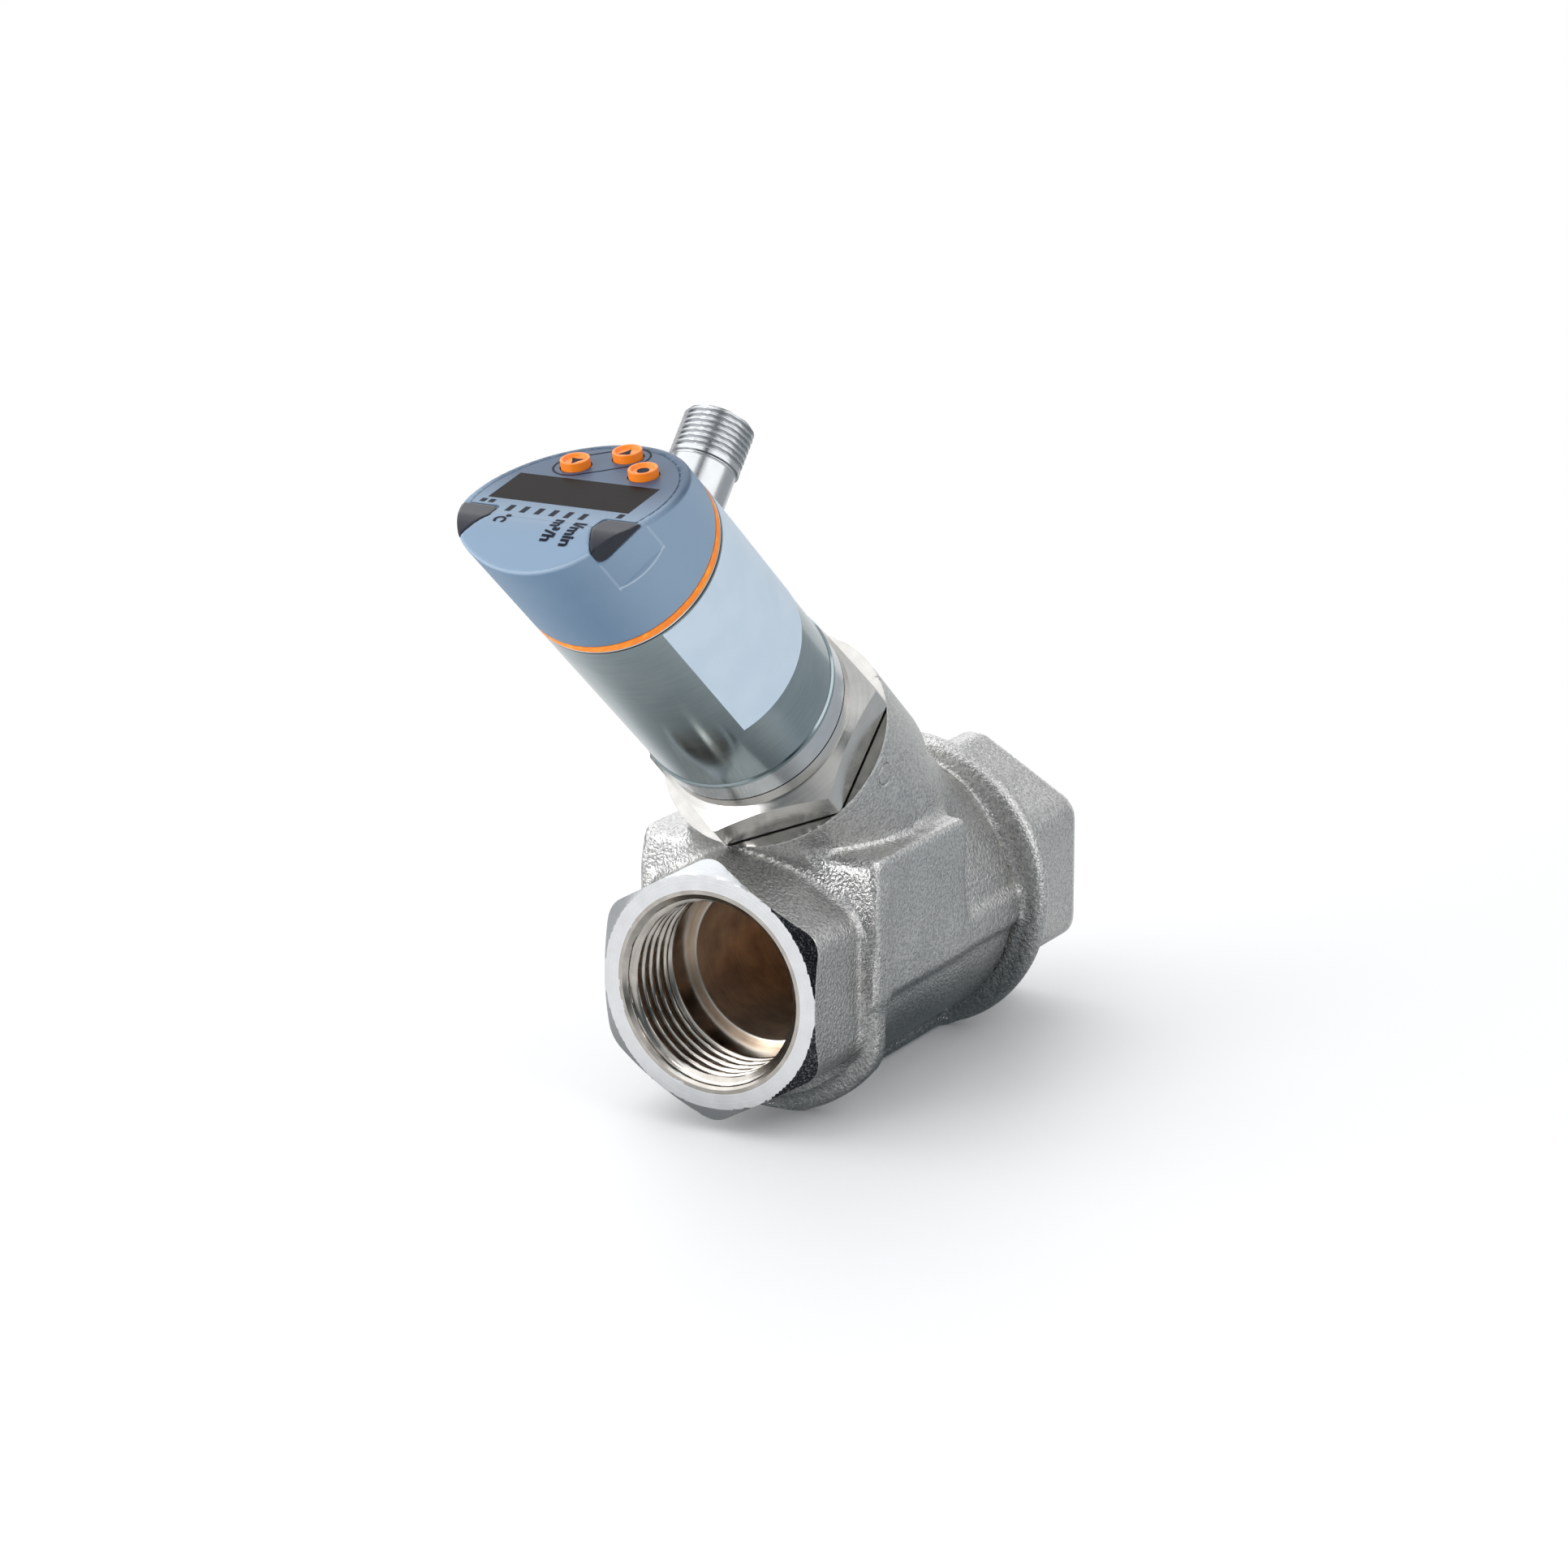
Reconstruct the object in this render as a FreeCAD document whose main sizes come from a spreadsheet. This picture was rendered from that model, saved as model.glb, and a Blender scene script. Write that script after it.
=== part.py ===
import FreeCAD, Part
import math
import os
import re
import Sketcher

# Flow sensor with a lifted piston: a pipe body with a leaning branch, a screwed hexagon base,
# a steel can with a side plug, and a display head cut off at a slope. Sizes are millimetres.
# The origin is the centre of the inlet's face; the pipe runs along -Y and the branch leans over it.
# A size that starts with = follows from the sizes above it.

doc = FreeCAD.newDocument("FlowSensor")
sheet = doc.addObject("Spreadsheet::Sheet", "Sizes")

SIZES = [
    # how far a cutter or a hidden foot runs past the face that it meets
    ("margin", 1.0),
    # the pipe body
    ("pipe_length", 94.6),
    ("port_thread_radius", 15.146),
    ("port_mouth_radius", 17.0),
    ("port_thread_depth", 19.0),
    ("port_bore_radius", 13.9),
    ("port_land", 3.5),
    ("hex_width", "=2 * (port_mouth_radius + port_land)"),
    ("hex_round", 2.8),
    ("face_ring_inset", 0.1),
    ("face_ring_radius", "=hex_width / 2 - face_ring_inset"),
    ("corner_slope", 30.0),
    ("inlet_hex_length", 22.0),
    ("outlet_hex_length", 16.3),
    ("collar_radius", 27.3),
    ("collar_lift", 1.3),
    ("collar_length", 4.2),
    ("collar_round", 1.6),
    ("barrel_radius", 22.4),
    ("relief_radius", 20.6),
    ("relief_length", 1.6),
    ("outlet_collar_top", 20.0),
    ("pad_half_width", 23.0),
    ("pad_top", 21.7),
    ("pad_bottom", 2.3),
    ("pad_length", 32.3),
    ("bar_top", 3.0),
    ("pad_round", 4.5),
    ("pad_edge_round", 1.5),
    ("rib_half_width", 8.0),
    ("rib_drop", 24.6),
    # the branch
    ("branch_angle", 40.8),
    ("branch_place", 27.5),
    ("boss_radius", 20.4),
    ("boss_height", 59.4),
    ("boss_length", 19.8),
    ("neck_radius", 18.9),
    ("chamber_radius", 14.5),
    ("seat_radius", 10.5),
    ("seat_bottom", 4.0),
    ("seat_top", 8.0),
    ("socket_depth", 12.4),
    ("socket_radius", 15.4),
    # the hexagon base that screws into the branch
    ("base_gap", 0.4),
    ("base_hex_width", 36.0),
    ("base_hex_height", 7.2),
    ("base_hex_round", 1.0),
    ("base_hex_turn", 26.0),
    ("base_crown_radius", 16.7),
    ("fit_gap", 0.06),
    ("thread_gap", 0.03),
    ("seal_section", 0.95),
    ("seal_sink", 0.6),
    ("seal_seat_depth", 2.3),
    ("seal_seat_width", 1.43),
    ("seal_groove_depth", 2.85),
    ("guide_radius", 9.0),
    ("guide_length", 14.0),
    ("stem_radius", 6.0),
    ("web_height", 66.0),
    ("web_thickness", 2.0),
    ("well_radius", 9.5),
    ("collar_ring_height", 3.3),
    ("crown_bevel", 1.0),
    ("swivel_radius", 12.0),
    ("swivel_height", 8.7),
    ("swivel_seal_section", 0.55),
    ("swivel_seal_rise", 2.5),
    ("swivel_groove_depth", 1.12),
    ("swivel_groove_width", 1.3),
    ("clip_height", 1.2),
    ("clip_width", 2.2),
    ("clip_bite", 0.8),
    ("clip_sweep_angle", 310.0),
    # the piston and its spring
    ("piston_radius", 13.4),
    ("piston_head", 4.0),
    ("plug_radius", 10.0),
    ("plug_depth", 3.5),
    ("plug_taper", 1.5),
    ("seal_lip", 0.8),
    ("seal_rim", 0.5),
    ("piston_length", 37.0),
    ("piston_lift", 13.0),
    ("magnet_radius", 4.0),
    ("magnet_length", 8.0),
    ("piston_seal_rise", 0.3),
    ("piston_seal_height", 1.3),
    ("spring_radius", 11.2),
    ("spring_wire", 1.1),
    ("spring_turns", 8.0),
    # the can and its foot
    ("can_radius", 17.2),
    ("can_wall", 0.6),
    ("can_bottom", 75.2),
    ("can_length", 46.9),
    ("can_top", "=can_bottom + can_length"),
    ("can_lip", 0.3),
    ("running_gap", 0.3),
    ("foot_flange", 5.9),
    ("foot_wall", 1.5),
    ("foot_rise", 8.5),
    ("label_rise", 13.8),
    ("label_bottom", "=can_bottom + label_rise"),
    ("label_drop", 0.9),
    ("label_top", "=can_top - label_drop"),
    ("label_start_angle", -44.6),
    ("label_sweep_angle", 110.0),
    ("label_thickness", 0.1),
    # the plug on the can
    ("plug_drop", 12.9),
    ("plug_place", "=can_top - plug_drop"),
    ("plug_tip", 32.3),
    ("plug_thread_radius", 6.0),
    ("plug_thread_length", 8.3),
    ("plug_neck_radius", 5.35),
    ("plug_neck_length", 1.2),
    ("plug_barrel_radius", 5.65),
    ("plug_bore_radius", 4.4),
    ("plug_chamfer", 0.6),
    ("plug_tail", 2.0),
    ("plug_flange_radius", 7.5),
    ("plug_flange_height", 1.4),
    ("insert_sink", 0.3),
    ("insert_wall", 0.6),
    ("insert_floor", 9.0),
    ("insert_tail", 3.0),
    ("pin_sink", 1.6),
    ("pin_radius", 0.5),
    ("pin_circle_radius", 2.25),
    # the display head
    ("ring_height", 1.45),
    ("ring_gap", 0.05),
    ("ring_root_radius", 15.9),
    ("head_back_height", 3.83),
    ("slope_angle", 36.7),
    ("slope_rise", 7.05),
    ("head_wall", 1.8),
    ("head_spigot", 4.9),
    ("head_round", 0.7),
    ("bend_round", 8.0),
    ("facet_distance", 16.65),
    ("facet_drop", 11.0),
    ("facet_turn", 30.0),
    ("foil_inset", 1.5),
    ("foil_thickness", 0.3),
    ("foil_top", 6.8),
    ("window_left", 13.5),
    ("window_right", 12.2),
    ("window_low", 2.85),
    ("window_high", 6.65),
    ("window_thickness", 1.2),
    ("lamp_inner", 10.2),
    ("lamp_near", 6.0),
    ("lamp_far", 12.9),
    ("lamp_drop", 3.9),
    ("button_radius", 2.45),
    ("button_gap", 0.15),
    ("button_rise", 1.7),
    ("button_travel", 0.4),
    ("button_dish", 0.5),
    ("button_dish_radius", 1.5),
    ("button_lip_radius", 1.8),
    ("button_shoulder", 0.3),
    ("button_flange", 0.7),
    ("button_post_radius", 1.0),
    ("up_across", -6.1),
    ("up_along", 11.2),
    ("down_across", 0.5),
    ("down_along", 16.2),
    ("enter_across", 6.8),
    ("enter_along", 10.6),
    # the electronics inside
    ("board_thickness", 1.6),
    ("board_place", 2.4),
    ("board_bottom", 79.4),
    ("board_drop", 8.6),
    ("board_top", "=can_top - board_drop"),
    ("tongue_half_width", 4.0),
    ("tongue_bottom", 68.7),
    ("sensor_width", 4.0),
    ("sensor_thickness", 1.3),
    ("sensor_rise", 0.43),
    ("controller_width", 8.0),
    ("controller_across", -9.0),
    ("controller_rise", 9.0),
    ("output_width", 6.0),
    ("output_height", 5.0),
    ("output_rise", 14.0),
    ("supply_width", 5.0),
    ("supply_height", 4.0),
    ("supply_rise", 5.0),
    ("chip_across", 3.0),
    ("chip_thickness", 1.2),
    ("screen_depth", 3.4),
    ("screen_inset", 0.35),
    ("screen_board_thickness", 1.2),
    ("screen_board_half_width", 13.0),
    ("screen_board_end", 9.1),
    ("screen_board_low", 9.0),
    ("screen_board_high", 18.5),
    ("screen_board_wide_low", 3.0),
    ("screen_board_wide_high", 8.0),
    ("switch_width", 4.6),
    ("switch_height", 1.1),
    ("lamp_row_start", -7.5),
    ("lamp_row_step", 2.65),
    ("lamp_row_height", 5.6),
    ("lamp_chip_length", 1.2),
    ("lamp_chip_width", 0.8),
]

for row, (alias, value) in enumerate(SIZES, start=1):
    sheet.set("A%d" % row, alias)
    sheet.set("B%d" % row, str(value))
    sheet.setAlias("B%d" % row, alias)
doc.recompute()
ALIASES = {alias for alias, value in SIZES}

X_AXIS = FreeCAD.Vector(1, 0, 0)
Y_AXIS = FreeCAD.Vector(0, 1, 0)
Z_AXIS = FreeCAD.Vector(0, 0, 1)
ORIGIN = FreeCAD.Vector(0, 0, 0)
CLOSE = 0.01
PARALLEL = 1e-6


def bound(text):
    """Spells the sheet's name out in front of each size in an expression."""
    return re.sub(r"[a-z][a-z_]+", lambda word: "Sizes." * (word.group() in ALIASES) + word.group(), text)


def number(text):
    """The value that an expression has now, for the first drawing of a sketch."""
    return float(sheet.evalExpression(bound(text)))


def origin_plane(body, role):
    return [feature for feature in body.Origin.OriginFeatures if feature.Role == role][0]


def outline(body, name, role, points, height="0"):
    """A closed sketch through the points; two dimensions hold each point to the sheet."""
    sketch = body.newObject("Sketcher::SketchObject", name)
    sketch.AttachmentSupport = (origin_plane(body, role), "")
    sketch.MapMode = "FlatFace"
    sketch.setExpression("AttachmentOffset.Base.z", bound(height))
    corners = [FreeCAD.Vector(number(across), number(along), 0) for across, along in points]
    count = len(corners)
    for index in range(count):
        sketch.addGeometry(Part.LineSegment(corners[index], corners[(index + 1) % count]), False)
    for index in range(count):
        sketch.addConstraint(Sketcher.Constraint("Coincident", index, 2, (index + 1) % count, 1))
    for index, (across, along) in enumerate(points):
        for kind, text in (("DistanceX", across), ("DistanceY", along)):
            place = sketch.addConstraint(Sketcher.Constraint(kind, index, 1, number(text)))
            sketch.setExpression("Constraints[%d]" % place, bound(text))
    return sketch


def circle(body, name, role, radius, centre=("0", "0"), height="0"):
    """A sketch of one circle, its radius and centre held to the sheet."""
    sketch = body.newObject("Sketcher::SketchObject", name)
    sketch.AttachmentSupport = (origin_plane(body, role), "")
    sketch.MapMode = "FlatFace"
    sketch.setExpression("AttachmentOffset.Base.z", bound(height))
    middle = FreeCAD.Vector(number(centre[0]), number(centre[1]), 0)
    sketch.addGeometry(Part.Circle(middle, Z_AXIS, number(radius)), False)
    for kind, text in (("Radius", radius), ("DistanceX", centre[0]), ("DistanceY", centre[1])):
        if kind == "Radius":
            place = sketch.addConstraint(Sketcher.Constraint(kind, 0, number(text)))
        else:
            place = sketch.addConstraint(Sketcher.Constraint(kind, 0, 3, number(text)))
        sketch.setExpression("Constraints[%d]" % place, bound(text))
    return sketch


def new_body(name):
    body = doc.addObject("PartDesign::Body", name)
    body.Label = name
    return body


def turned(name, points):
    """A body of revolution about its own Z axis; the points are radius and height."""
    body = new_body(name)
    sketch = outline(body, name + "_profile", "XZ_Plane", points)
    revolution = body.newObject("PartDesign::Revolution", name + "_turn")
    revolution.Profile = sketch
    revolution.ReferenceAxis = (sketch, ["V_Axis"])
    revolution.Angle = 360
    doc.recompute()
    return body


def raised(body, sketch, length, both_ways=False):
    """A pad of a sketch, up from its plane or to both sides of it."""
    pad = body.newObject("PartDesign::Pad", sketch.Name + "_pad")
    pad.Profile = sketch
    pad.setExpression("Length", bound(length))
    if both_ways:
        pad.SideType = "Symmetric"
    doc.recompute()
    return pad


def plate(name, role, points, length, height="0", both_ways=False):
    body = new_body(name)
    raised(body, outline(body, name + "_profile", role, points, height), length, both_ways)
    return body


def rounded(body, radius, wanted):
    """Rounds the edges of the body's last feature for which wanted(edge) holds."""
    tip = body.Tip
    names = ["Edge%d" % (index + 1) for index, edge in enumerate(tip.Shape.Edges) if wanted(edge)]
    fillet = body.newObject("PartDesign::Fillet", body.Name + "_round%d" % len(body.Group))
    fillet.Base = (tip, names)
    fillet.setExpression("Radius", bound(radius))
    doc.recompute()
    return fillet


def runs_along(axis):
    """A test for straight edges along one of the body's own axes."""
    def test(edge):
        if not isinstance(edge.Curve, Part.Line):
            return False
        return abs(abs(edge.Curve.Direction.dot(axis)) - 1) < PARALLEL
    return test


def fused(name, *shapes):
    fusion = doc.addObject("Part::MultiFuse", name)
    fusion.Shapes = list(shapes)
    fusion.Label = name
    return fusion


def cut(name, base, tool):
    result = doc.addObject("Part::Cut", name)
    result.Base = base
    result.Tool = tool
    result.Label = name
    return result


def shared(name, *shapes):
    result = doc.addObject("Part::MultiCommon", name)
    result.Shapes = list(shapes)
    result.Label = name
    return result


def box(name, corner, size):
    """A box from its low corner and its three lengths, all six as expressions."""
    block = doc.addObject("Part::Box", name)
    for side, text in zip(("Length", "Width", "Height"), size):
        block.setExpression(side, bound(text))
    for letter, text in zip("xyz", corner):
        block.setExpression("Placement.Base." + letter, bound(text))
    return block


def rod(name, radius, length, centre=("0", "0", "0")):
    """A cylinder along Z from its radius, length and foot."""
    cylinder = doc.addObject("Part::Cylinder", name)
    cylinder.setExpression("Radius", bound(radius))
    cylinder.setExpression("Height", bound(length))
    for letter, text in zip("xyz", centre):
        cylinder.setExpression("Placement.Base." + letter, bound(text))
    return cylinder


def lay_on_pipe(item):
    """Turns a piece drawn along Z so that Z runs from the inlet to the outlet."""
    item.Placement = FreeCAD.Placement(ORIGIN, FreeCAD.Rotation(X_AXIS, 90))
    return item


def stand_on_branch(item):
    """Turns a piece drawn along Z so that Z is the branch's axis."""
    item.Placement = FreeCAD.Placement(ORIGIN, FreeCAD.Rotation(X_AXIS, 45))
    item.setExpression("Placement.Base.y", bound("-branch_place"))
    item.setExpression("Placement.Rotation.Angle", bound("90 - branch_angle"))
    return item


kept = []


def keep(item, label):
    item.Label = label
    kept.append(item)
    return item


# Valve body, the pipe side. A cast hexagon at each end for the spanner, its upright corners rounded.
HEX_CORNERS = [("0", "hex_width / sqrt(3)"), ("-hex_width / 2", "hex_width / sqrt(12)"),
               ("-hex_width / 2", "-hex_width / sqrt(12)"), ("0", "-hex_width / sqrt(3)"),
               ("hex_width / 2", "-hex_width / sqrt(12)"), ("hex_width / 2", "hex_width / sqrt(12)")]


def pipe_hexagon(name, start, length):
    body = plate(name, "XY_Plane", HEX_CORNERS, length, start)
    rounded(body, "hex_round", runs_along(Z_AXIS))
    return body


inlet_hexagon = lay_on_pipe(pipe_hexagon("inlet_hexagon", "0", "inlet_hex_length"))
outlet_hexagon = pipe_hexagon("outlet_hexagon", "pipe_length - outlet_hex_length", "outlet_hex_length")

# The outlet hexagon's corners are turned off at a slope around the face ring.
corner_turn = outline(outlet_hexagon, "corner_turn_profile", "XZ_Plane",
                      [("face_ring_radius", "pipe_length"), ("hex_width", "pipe_length"),
                       ("hex_width", "pipe_length - (hex_width - face_ring_radius) * tan(corner_slope)")])
corner_groove = outlet_hexagon.newObject("PartDesign::Groove", "corner_turn")
corner_groove.Profile = corner_turn
corner_groove.ReferenceAxis = (corner_turn, ["V_Axis"])
corner_groove.Angle = 360
doc.recompute()
lay_on_pipe(outlet_hexagon)

# The barrel between them, with the relief groove behind the inlet collar.
COLLAR_END = "inlet_hex_length + collar_length"
RELIEF_END = COLLAR_END + " + relief_length"
OUTLET_COLLAR_END = "pipe_length - outlet_hex_length"
barrel = lay_on_pipe(turned("barrel", [
    ("0", "inlet_hex_length"), ("relief_radius", "inlet_hex_length"), ("relief_radius", RELIEF_END),
    ("barrel_radius", RELIEF_END), ("barrel_radius", OUTLET_COLLAR_END + " - margin"),
    ("0", OUTLET_COLLAR_END + " - margin")]))


def collar(name, start):
    """A round flange with soft rims, a little above the pipe's axis."""
    body = new_body(name)
    raised(body, circle(body, name + "_profile", "XY_Plane", "collar_radius", ("0", "collar_lift"), start),
           "collar_length")
    rounded(body, "collar_round", lambda edge: True)
    return lay_on_pipe(body)


inlet_collar = collar("inlet_collar", "inlet_hex_length")
outlet_disc = collar("outlet_disc", OUTLET_COLLAR_END + " - collar_length")
outlet_clip = box("outlet_clip", ("-pad_half_width", "-pipe_length", "-2 * collar_radius"),
                  ("2 * pad_half_width", "pipe_length", "2 * collar_radius + outlet_collar_top"))
outlet_collar = shared("outlet_collar", outlet_disc, outlet_clip)

# The flat side pads, joined under the branch: a tall block by the outlet and a low bar to the inlet collar.
side_block = new_body("side_block")
raised(side_block, outline(side_block, "side_block_profile", "YZ_Plane", [
    ("outlet_hex_length - pipe_length", "-pad_bottom"), ("outlet_hex_length - pipe_length", "pad_top"),
    ("outlet_hex_length - pipe_length + pad_length", "pad_top"),
    ("outlet_hex_length - pipe_length + pad_length", "bar_top"),
    ("-inlet_hex_length - collar_length / 2", "bar_top"),
    ("-inlet_hex_length - collar_length / 2", "-pad_bottom")]), "2 * pad_half_width", both_ways=True)


def block_top_corner(edge):
    return runs_along(X_AXIS)(edge) and edge.CenterOfMass.z > number("pad_top") - CLOSE


def block_side_edge(edge):
    """An edge of a side face, above the bar."""
    if abs(abs(edge.CenterOfMass.x) - number("pad_half_width")) > CLOSE:
        return False
    return edge.CenterOfMass.z > number("bar_top") - CLOSE


rounded(side_block, "pad_round", block_top_corner)
rounded(side_block, "pad_edge_round", block_side_edge)

# The foot rib under the barrel.
foot_rib = box("foot_rib",
               ("-rib_half_width", "outlet_hex_length - pipe_length + collar_length / 2", "-rib_drop"),
               ("2 * rib_half_width",
                "pipe_length - outlet_hex_length - inlet_hex_length - collar_length", "rib_drop"))

# The branch side: a round boss with a turned seat on top, on a slightly thinner neck.
boss = stand_on_branch(turned("boss", [
    ("0", "seat_bottom"), ("neck_radius", "seat_bottom"),
    ("neck_radius", "boss_height - boss_length - margin"),
    ("boss_radius", "boss_height - boss_length"), ("boss_radius", "boss_height"), ("0", "boss_height")]))

casting = fused("casting", inlet_hexagon, outlet_hexagon, barrel, inlet_collar, outlet_collar,
                side_block, foot_rib, boss)

# The hollows: the inlet up to the seat wall, the outlet beyond it, the seat hole and the piston's chamber.
MOUTH_DEPTH = "(port_mouth_radius - port_thread_radius)"
inlet_hollow = lay_on_pipe(turned("inlet_hollow", [
    ("0", "-margin"), ("port_mouth_radius + margin", "-margin"), ("port_thread_radius", MOUTH_DEPTH),
    ("port_thread_radius", "port_thread_depth"), ("port_bore_radius", "port_thread_depth"),
    ("port_bore_radius", "pipe_length / 2"), ("0", "pipe_length / 2")]))
outlet_hollow = lay_on_pipe(turned("outlet_hollow", [
    ("0", "pipe_length + margin"), ("port_mouth_radius + margin", "pipe_length + margin"),
    ("port_thread_radius", "pipe_length - " + MOUTH_DEPTH),
    ("port_thread_radius", "pipe_length - port_thread_depth"),
    ("port_bore_radius", "pipe_length - port_thread_depth"), ("port_bore_radius", "pipe_length / 8"),
    ("0", "pipe_length / 8")]))
above_seat = stand_on_branch(turned("above_seat", [
    ("0", "seat_bottom"), ("pipe_length", "seat_bottom"), ("pipe_length", "pipe_length"),
    ("0", "pipe_length")]))
below_seat = stand_on_branch(turned("below_seat", [
    ("0", "seat_top"), ("pipe_length", "seat_top"), ("pipe_length", "-pipe_length"),
    ("0", "-pipe_length")]))
inlet_side = cut("inlet_side", inlet_hollow, above_seat)
outlet_side = cut("outlet_side", outlet_hollow, below_seat)
SOCKET_BOTTOM = "boss_height - socket_depth"
chamber = stand_on_branch(turned("chamber", [
    ("0", "seat_bottom - margin"), ("seat_radius", "seat_bottom - margin"), ("seat_radius", "seat_top"),
    ("chamber_radius", "seat_top"), ("chamber_radius", SOCKET_BOTTOM),
    ("socket_radius", SOCKET_BOTTOM), ("socket_radius", "boss_height - seal_seat_depth"),
    ("socket_radius + seal_seat_width", "boss_height - seal_seat_depth + seal_seat_width"),
    ("socket_radius + seal_seat_width", "boss_height + margin"), ("0", "boss_height + margin")]))
hollows = fused("hollows", inlet_side, outlet_side, chamber)
keep(cut("valve_body", casting, hollows), "valve_body")

# Hexagon base: one turned piece with the guide tube below, the thread in the branch, the spanner
# hexagon, the collar that the can's foot rests over, and the swivel neck with its clip groove.
BASE_FOOT = "(boss_height + base_gap)"
HEX_TOP = "(" + BASE_FOOT + " + base_hex_height)"
RING_TOP = "(" + HEX_TOP + " + collar_ring_height)"
NECK_TOP = "(" + RING_TOP + " + swivel_height)"
CLIP_FOOT = "(" + RING_TOP + " + running_gap + foot_flange + thread_gap)"
SWIVEL_SEAL = "(" + RING_TOP + " + swivel_seal_rise)"
GROOVE_FOOT = "(" + SWIVEL_SEAL + " - swivel_groove_width / 2)"
GROOVE_TOP = "(" + SWIVEL_SEAL + " + swivel_groove_width / 2)"
GROOVE_RADIUS = "(swivel_radius - swivel_groove_depth)"
SEAL_NECK = "(socket_radius - thread_gap - seal_sink)"
GUIDE_BORE = "(stem_radius + fit_gap)"
base_turned = turned("base_turned", [
    (GUIDE_BORE, SOCKET_BOTTOM + " - guide_length"), ("guide_radius", SOCKET_BOTTOM + " - guide_length"),
    ("guide_radius", SOCKET_BOTTOM + " + thread_gap"),
    ("socket_radius - thread_gap", SOCKET_BOTTOM + " + thread_gap"),
    ("socket_radius - thread_gap", "boss_height - seal_groove_depth"),
    (SEAL_NECK, "boss_height - seal_groove_depth + seal_sink"), (SEAL_NECK, BASE_FOOT),
    ("base_crown_radius", BASE_FOOT), ("base_crown_radius", HEX_TOP),
    ("can_radius", HEX_TOP + " + crown_bevel"), ("can_radius", RING_TOP), ("swivel_radius", RING_TOP),
    ("swivel_radius", GROOVE_FOOT), (GROOVE_RADIUS, GROOVE_FOOT), (GROOVE_RADIUS, GROOVE_TOP),
    ("swivel_radius", GROOVE_TOP), ("swivel_radius", CLIP_FOOT),
    ("swivel_radius - clip_bite", CLIP_FOOT),
    ("swivel_radius - clip_bite", CLIP_FOOT + " + clip_height"),
    ("swivel_radius", CLIP_FOOT + " + clip_height"), ("swivel_radius", NECK_TOP), ("well_radius", NECK_TOP),
    ("well_radius", "web_height + web_thickness"), ("0", "web_height + web_thickness"),
    ("0", "web_height"), (GUIDE_BORE, "web_height")])


def base_hex_corner(index):
    angle = "(base_hex_turn + 60 * %d)" % index
    return ("base_hex_width / sqrt(3) * cos" + angle, "base_hex_width / sqrt(3) * sin" + angle)


base_hexagon = plate("base_hexagon", "XY_Plane", [base_hex_corner(index) for index in range(6)],
                     "base_hex_height", BASE_FOOT)
rounded(base_hexagon, "base_hex_round", runs_along(Z_AXIS))
crown_turn = outline(base_hexagon, "crown_turn_profile", "XZ_Plane",
                     [("base_crown_radius", HEX_TOP), ("base_hex_width", HEX_TOP),
                      ("base_hex_width", HEX_TOP + " - (base_hex_width - base_crown_radius) * tan(corner_slope)")])
crown_groove = base_hexagon.newObject("PartDesign::Groove", "crown_turn")
crown_groove.Profile = crown_turn
crown_groove.ReferenceAxis = (crown_turn, ["V_Axis"])
crown_groove.Angle = 360
doc.recompute()
hex_bore = rod("hex_bore", "base_crown_radius - margin", "base_hex_height + 2 * margin",
               ("0", "0", BASE_FOOT + " - margin"))
hexagon_ring = cut("hexagon_ring", base_hexagon, hex_bore)
keep(stand_on_branch(fused("screw_base", base_turned, hexagon_ring)), "screw_base")


def torus(name, radius, section, height):
    """An O-ring about the branch's axis at a height on it."""
    body = new_body(name)
    sketch = circle(body, name + "_section", "XZ_Plane", section, (radius, height))
    revolution = body.newObject("PartDesign::Revolution", name + "_turn")
    revolution.Profile = sketch
    revolution.ReferenceAxis = (sketch, ["V_Axis"])
    revolution.Angle = 360
    doc.recompute()
    return stand_on_branch(body)


keep(torus("base_seal", SEAL_NECK + " + seal_section", "seal_section", BASE_FOOT + " - seal_section"),
     "base_seal")
keep(torus("swivel_seal", "swivel_radius + fit_gap / 2 - swivel_seal_section", "swivel_seal_section",
           SWIVEL_SEAL), "swivel_seal")

# Spring clip in the neck's groove, open on one side. It holds the can's foot down.
clip = turned("swivel_clip", [
    ("swivel_radius - clip_bite", CLIP_FOOT), ("swivel_radius - clip_bite + clip_width", CLIP_FOOT),
    ("swivel_radius - clip_bite + clip_width", CLIP_FOOT + " + clip_height"),
    ("swivel_radius - clip_bite", CLIP_FOOT + " + clip_height")])
clip.Tip.setExpression("Angle", bound("clip_sweep_angle"))
keep(stand_on_branch(clip), "swivel_clip")

# Piston: a plug that enters the seat, a head with a groove for its flat seal, and the guided stem.
HEAD_BOTTOM = "(seat_top + piston_seal_rise)"
HEAD_TOP = "(seat_top + piston_head)"
STEM_TOP = "(seat_top + piston_length)"
GROOVE_IN = "(seat_radius + seal_lip)"
GROOVE_OUT = "(piston_radius - seal_rim)"
SEAL_TOP = "(seat_top + piston_seal_height)"
keep(stand_on_branch(turned("piston", [
    ("0", "seat_top - plug_depth"), ("plug_radius - plug_taper", "seat_top - plug_depth"),
    ("plug_radius", HEAD_BOTTOM), (GROOVE_IN, HEAD_BOTTOM), (GROOVE_IN, SEAL_TOP),
    (GROOVE_OUT, SEAL_TOP), (GROOVE_OUT, HEAD_BOTTOM),
    ("piston_radius", HEAD_BOTTOM), ("piston_radius", HEAD_TOP), ("stem_radius", HEAD_TOP),
    ("stem_radius", STEM_TOP), ("magnet_radius", STEM_TOP),
    ("magnet_radius", STEM_TOP + " - magnet_length"),
    ("0", STEM_TOP + " - magnet_length")])), "piston")
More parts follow.
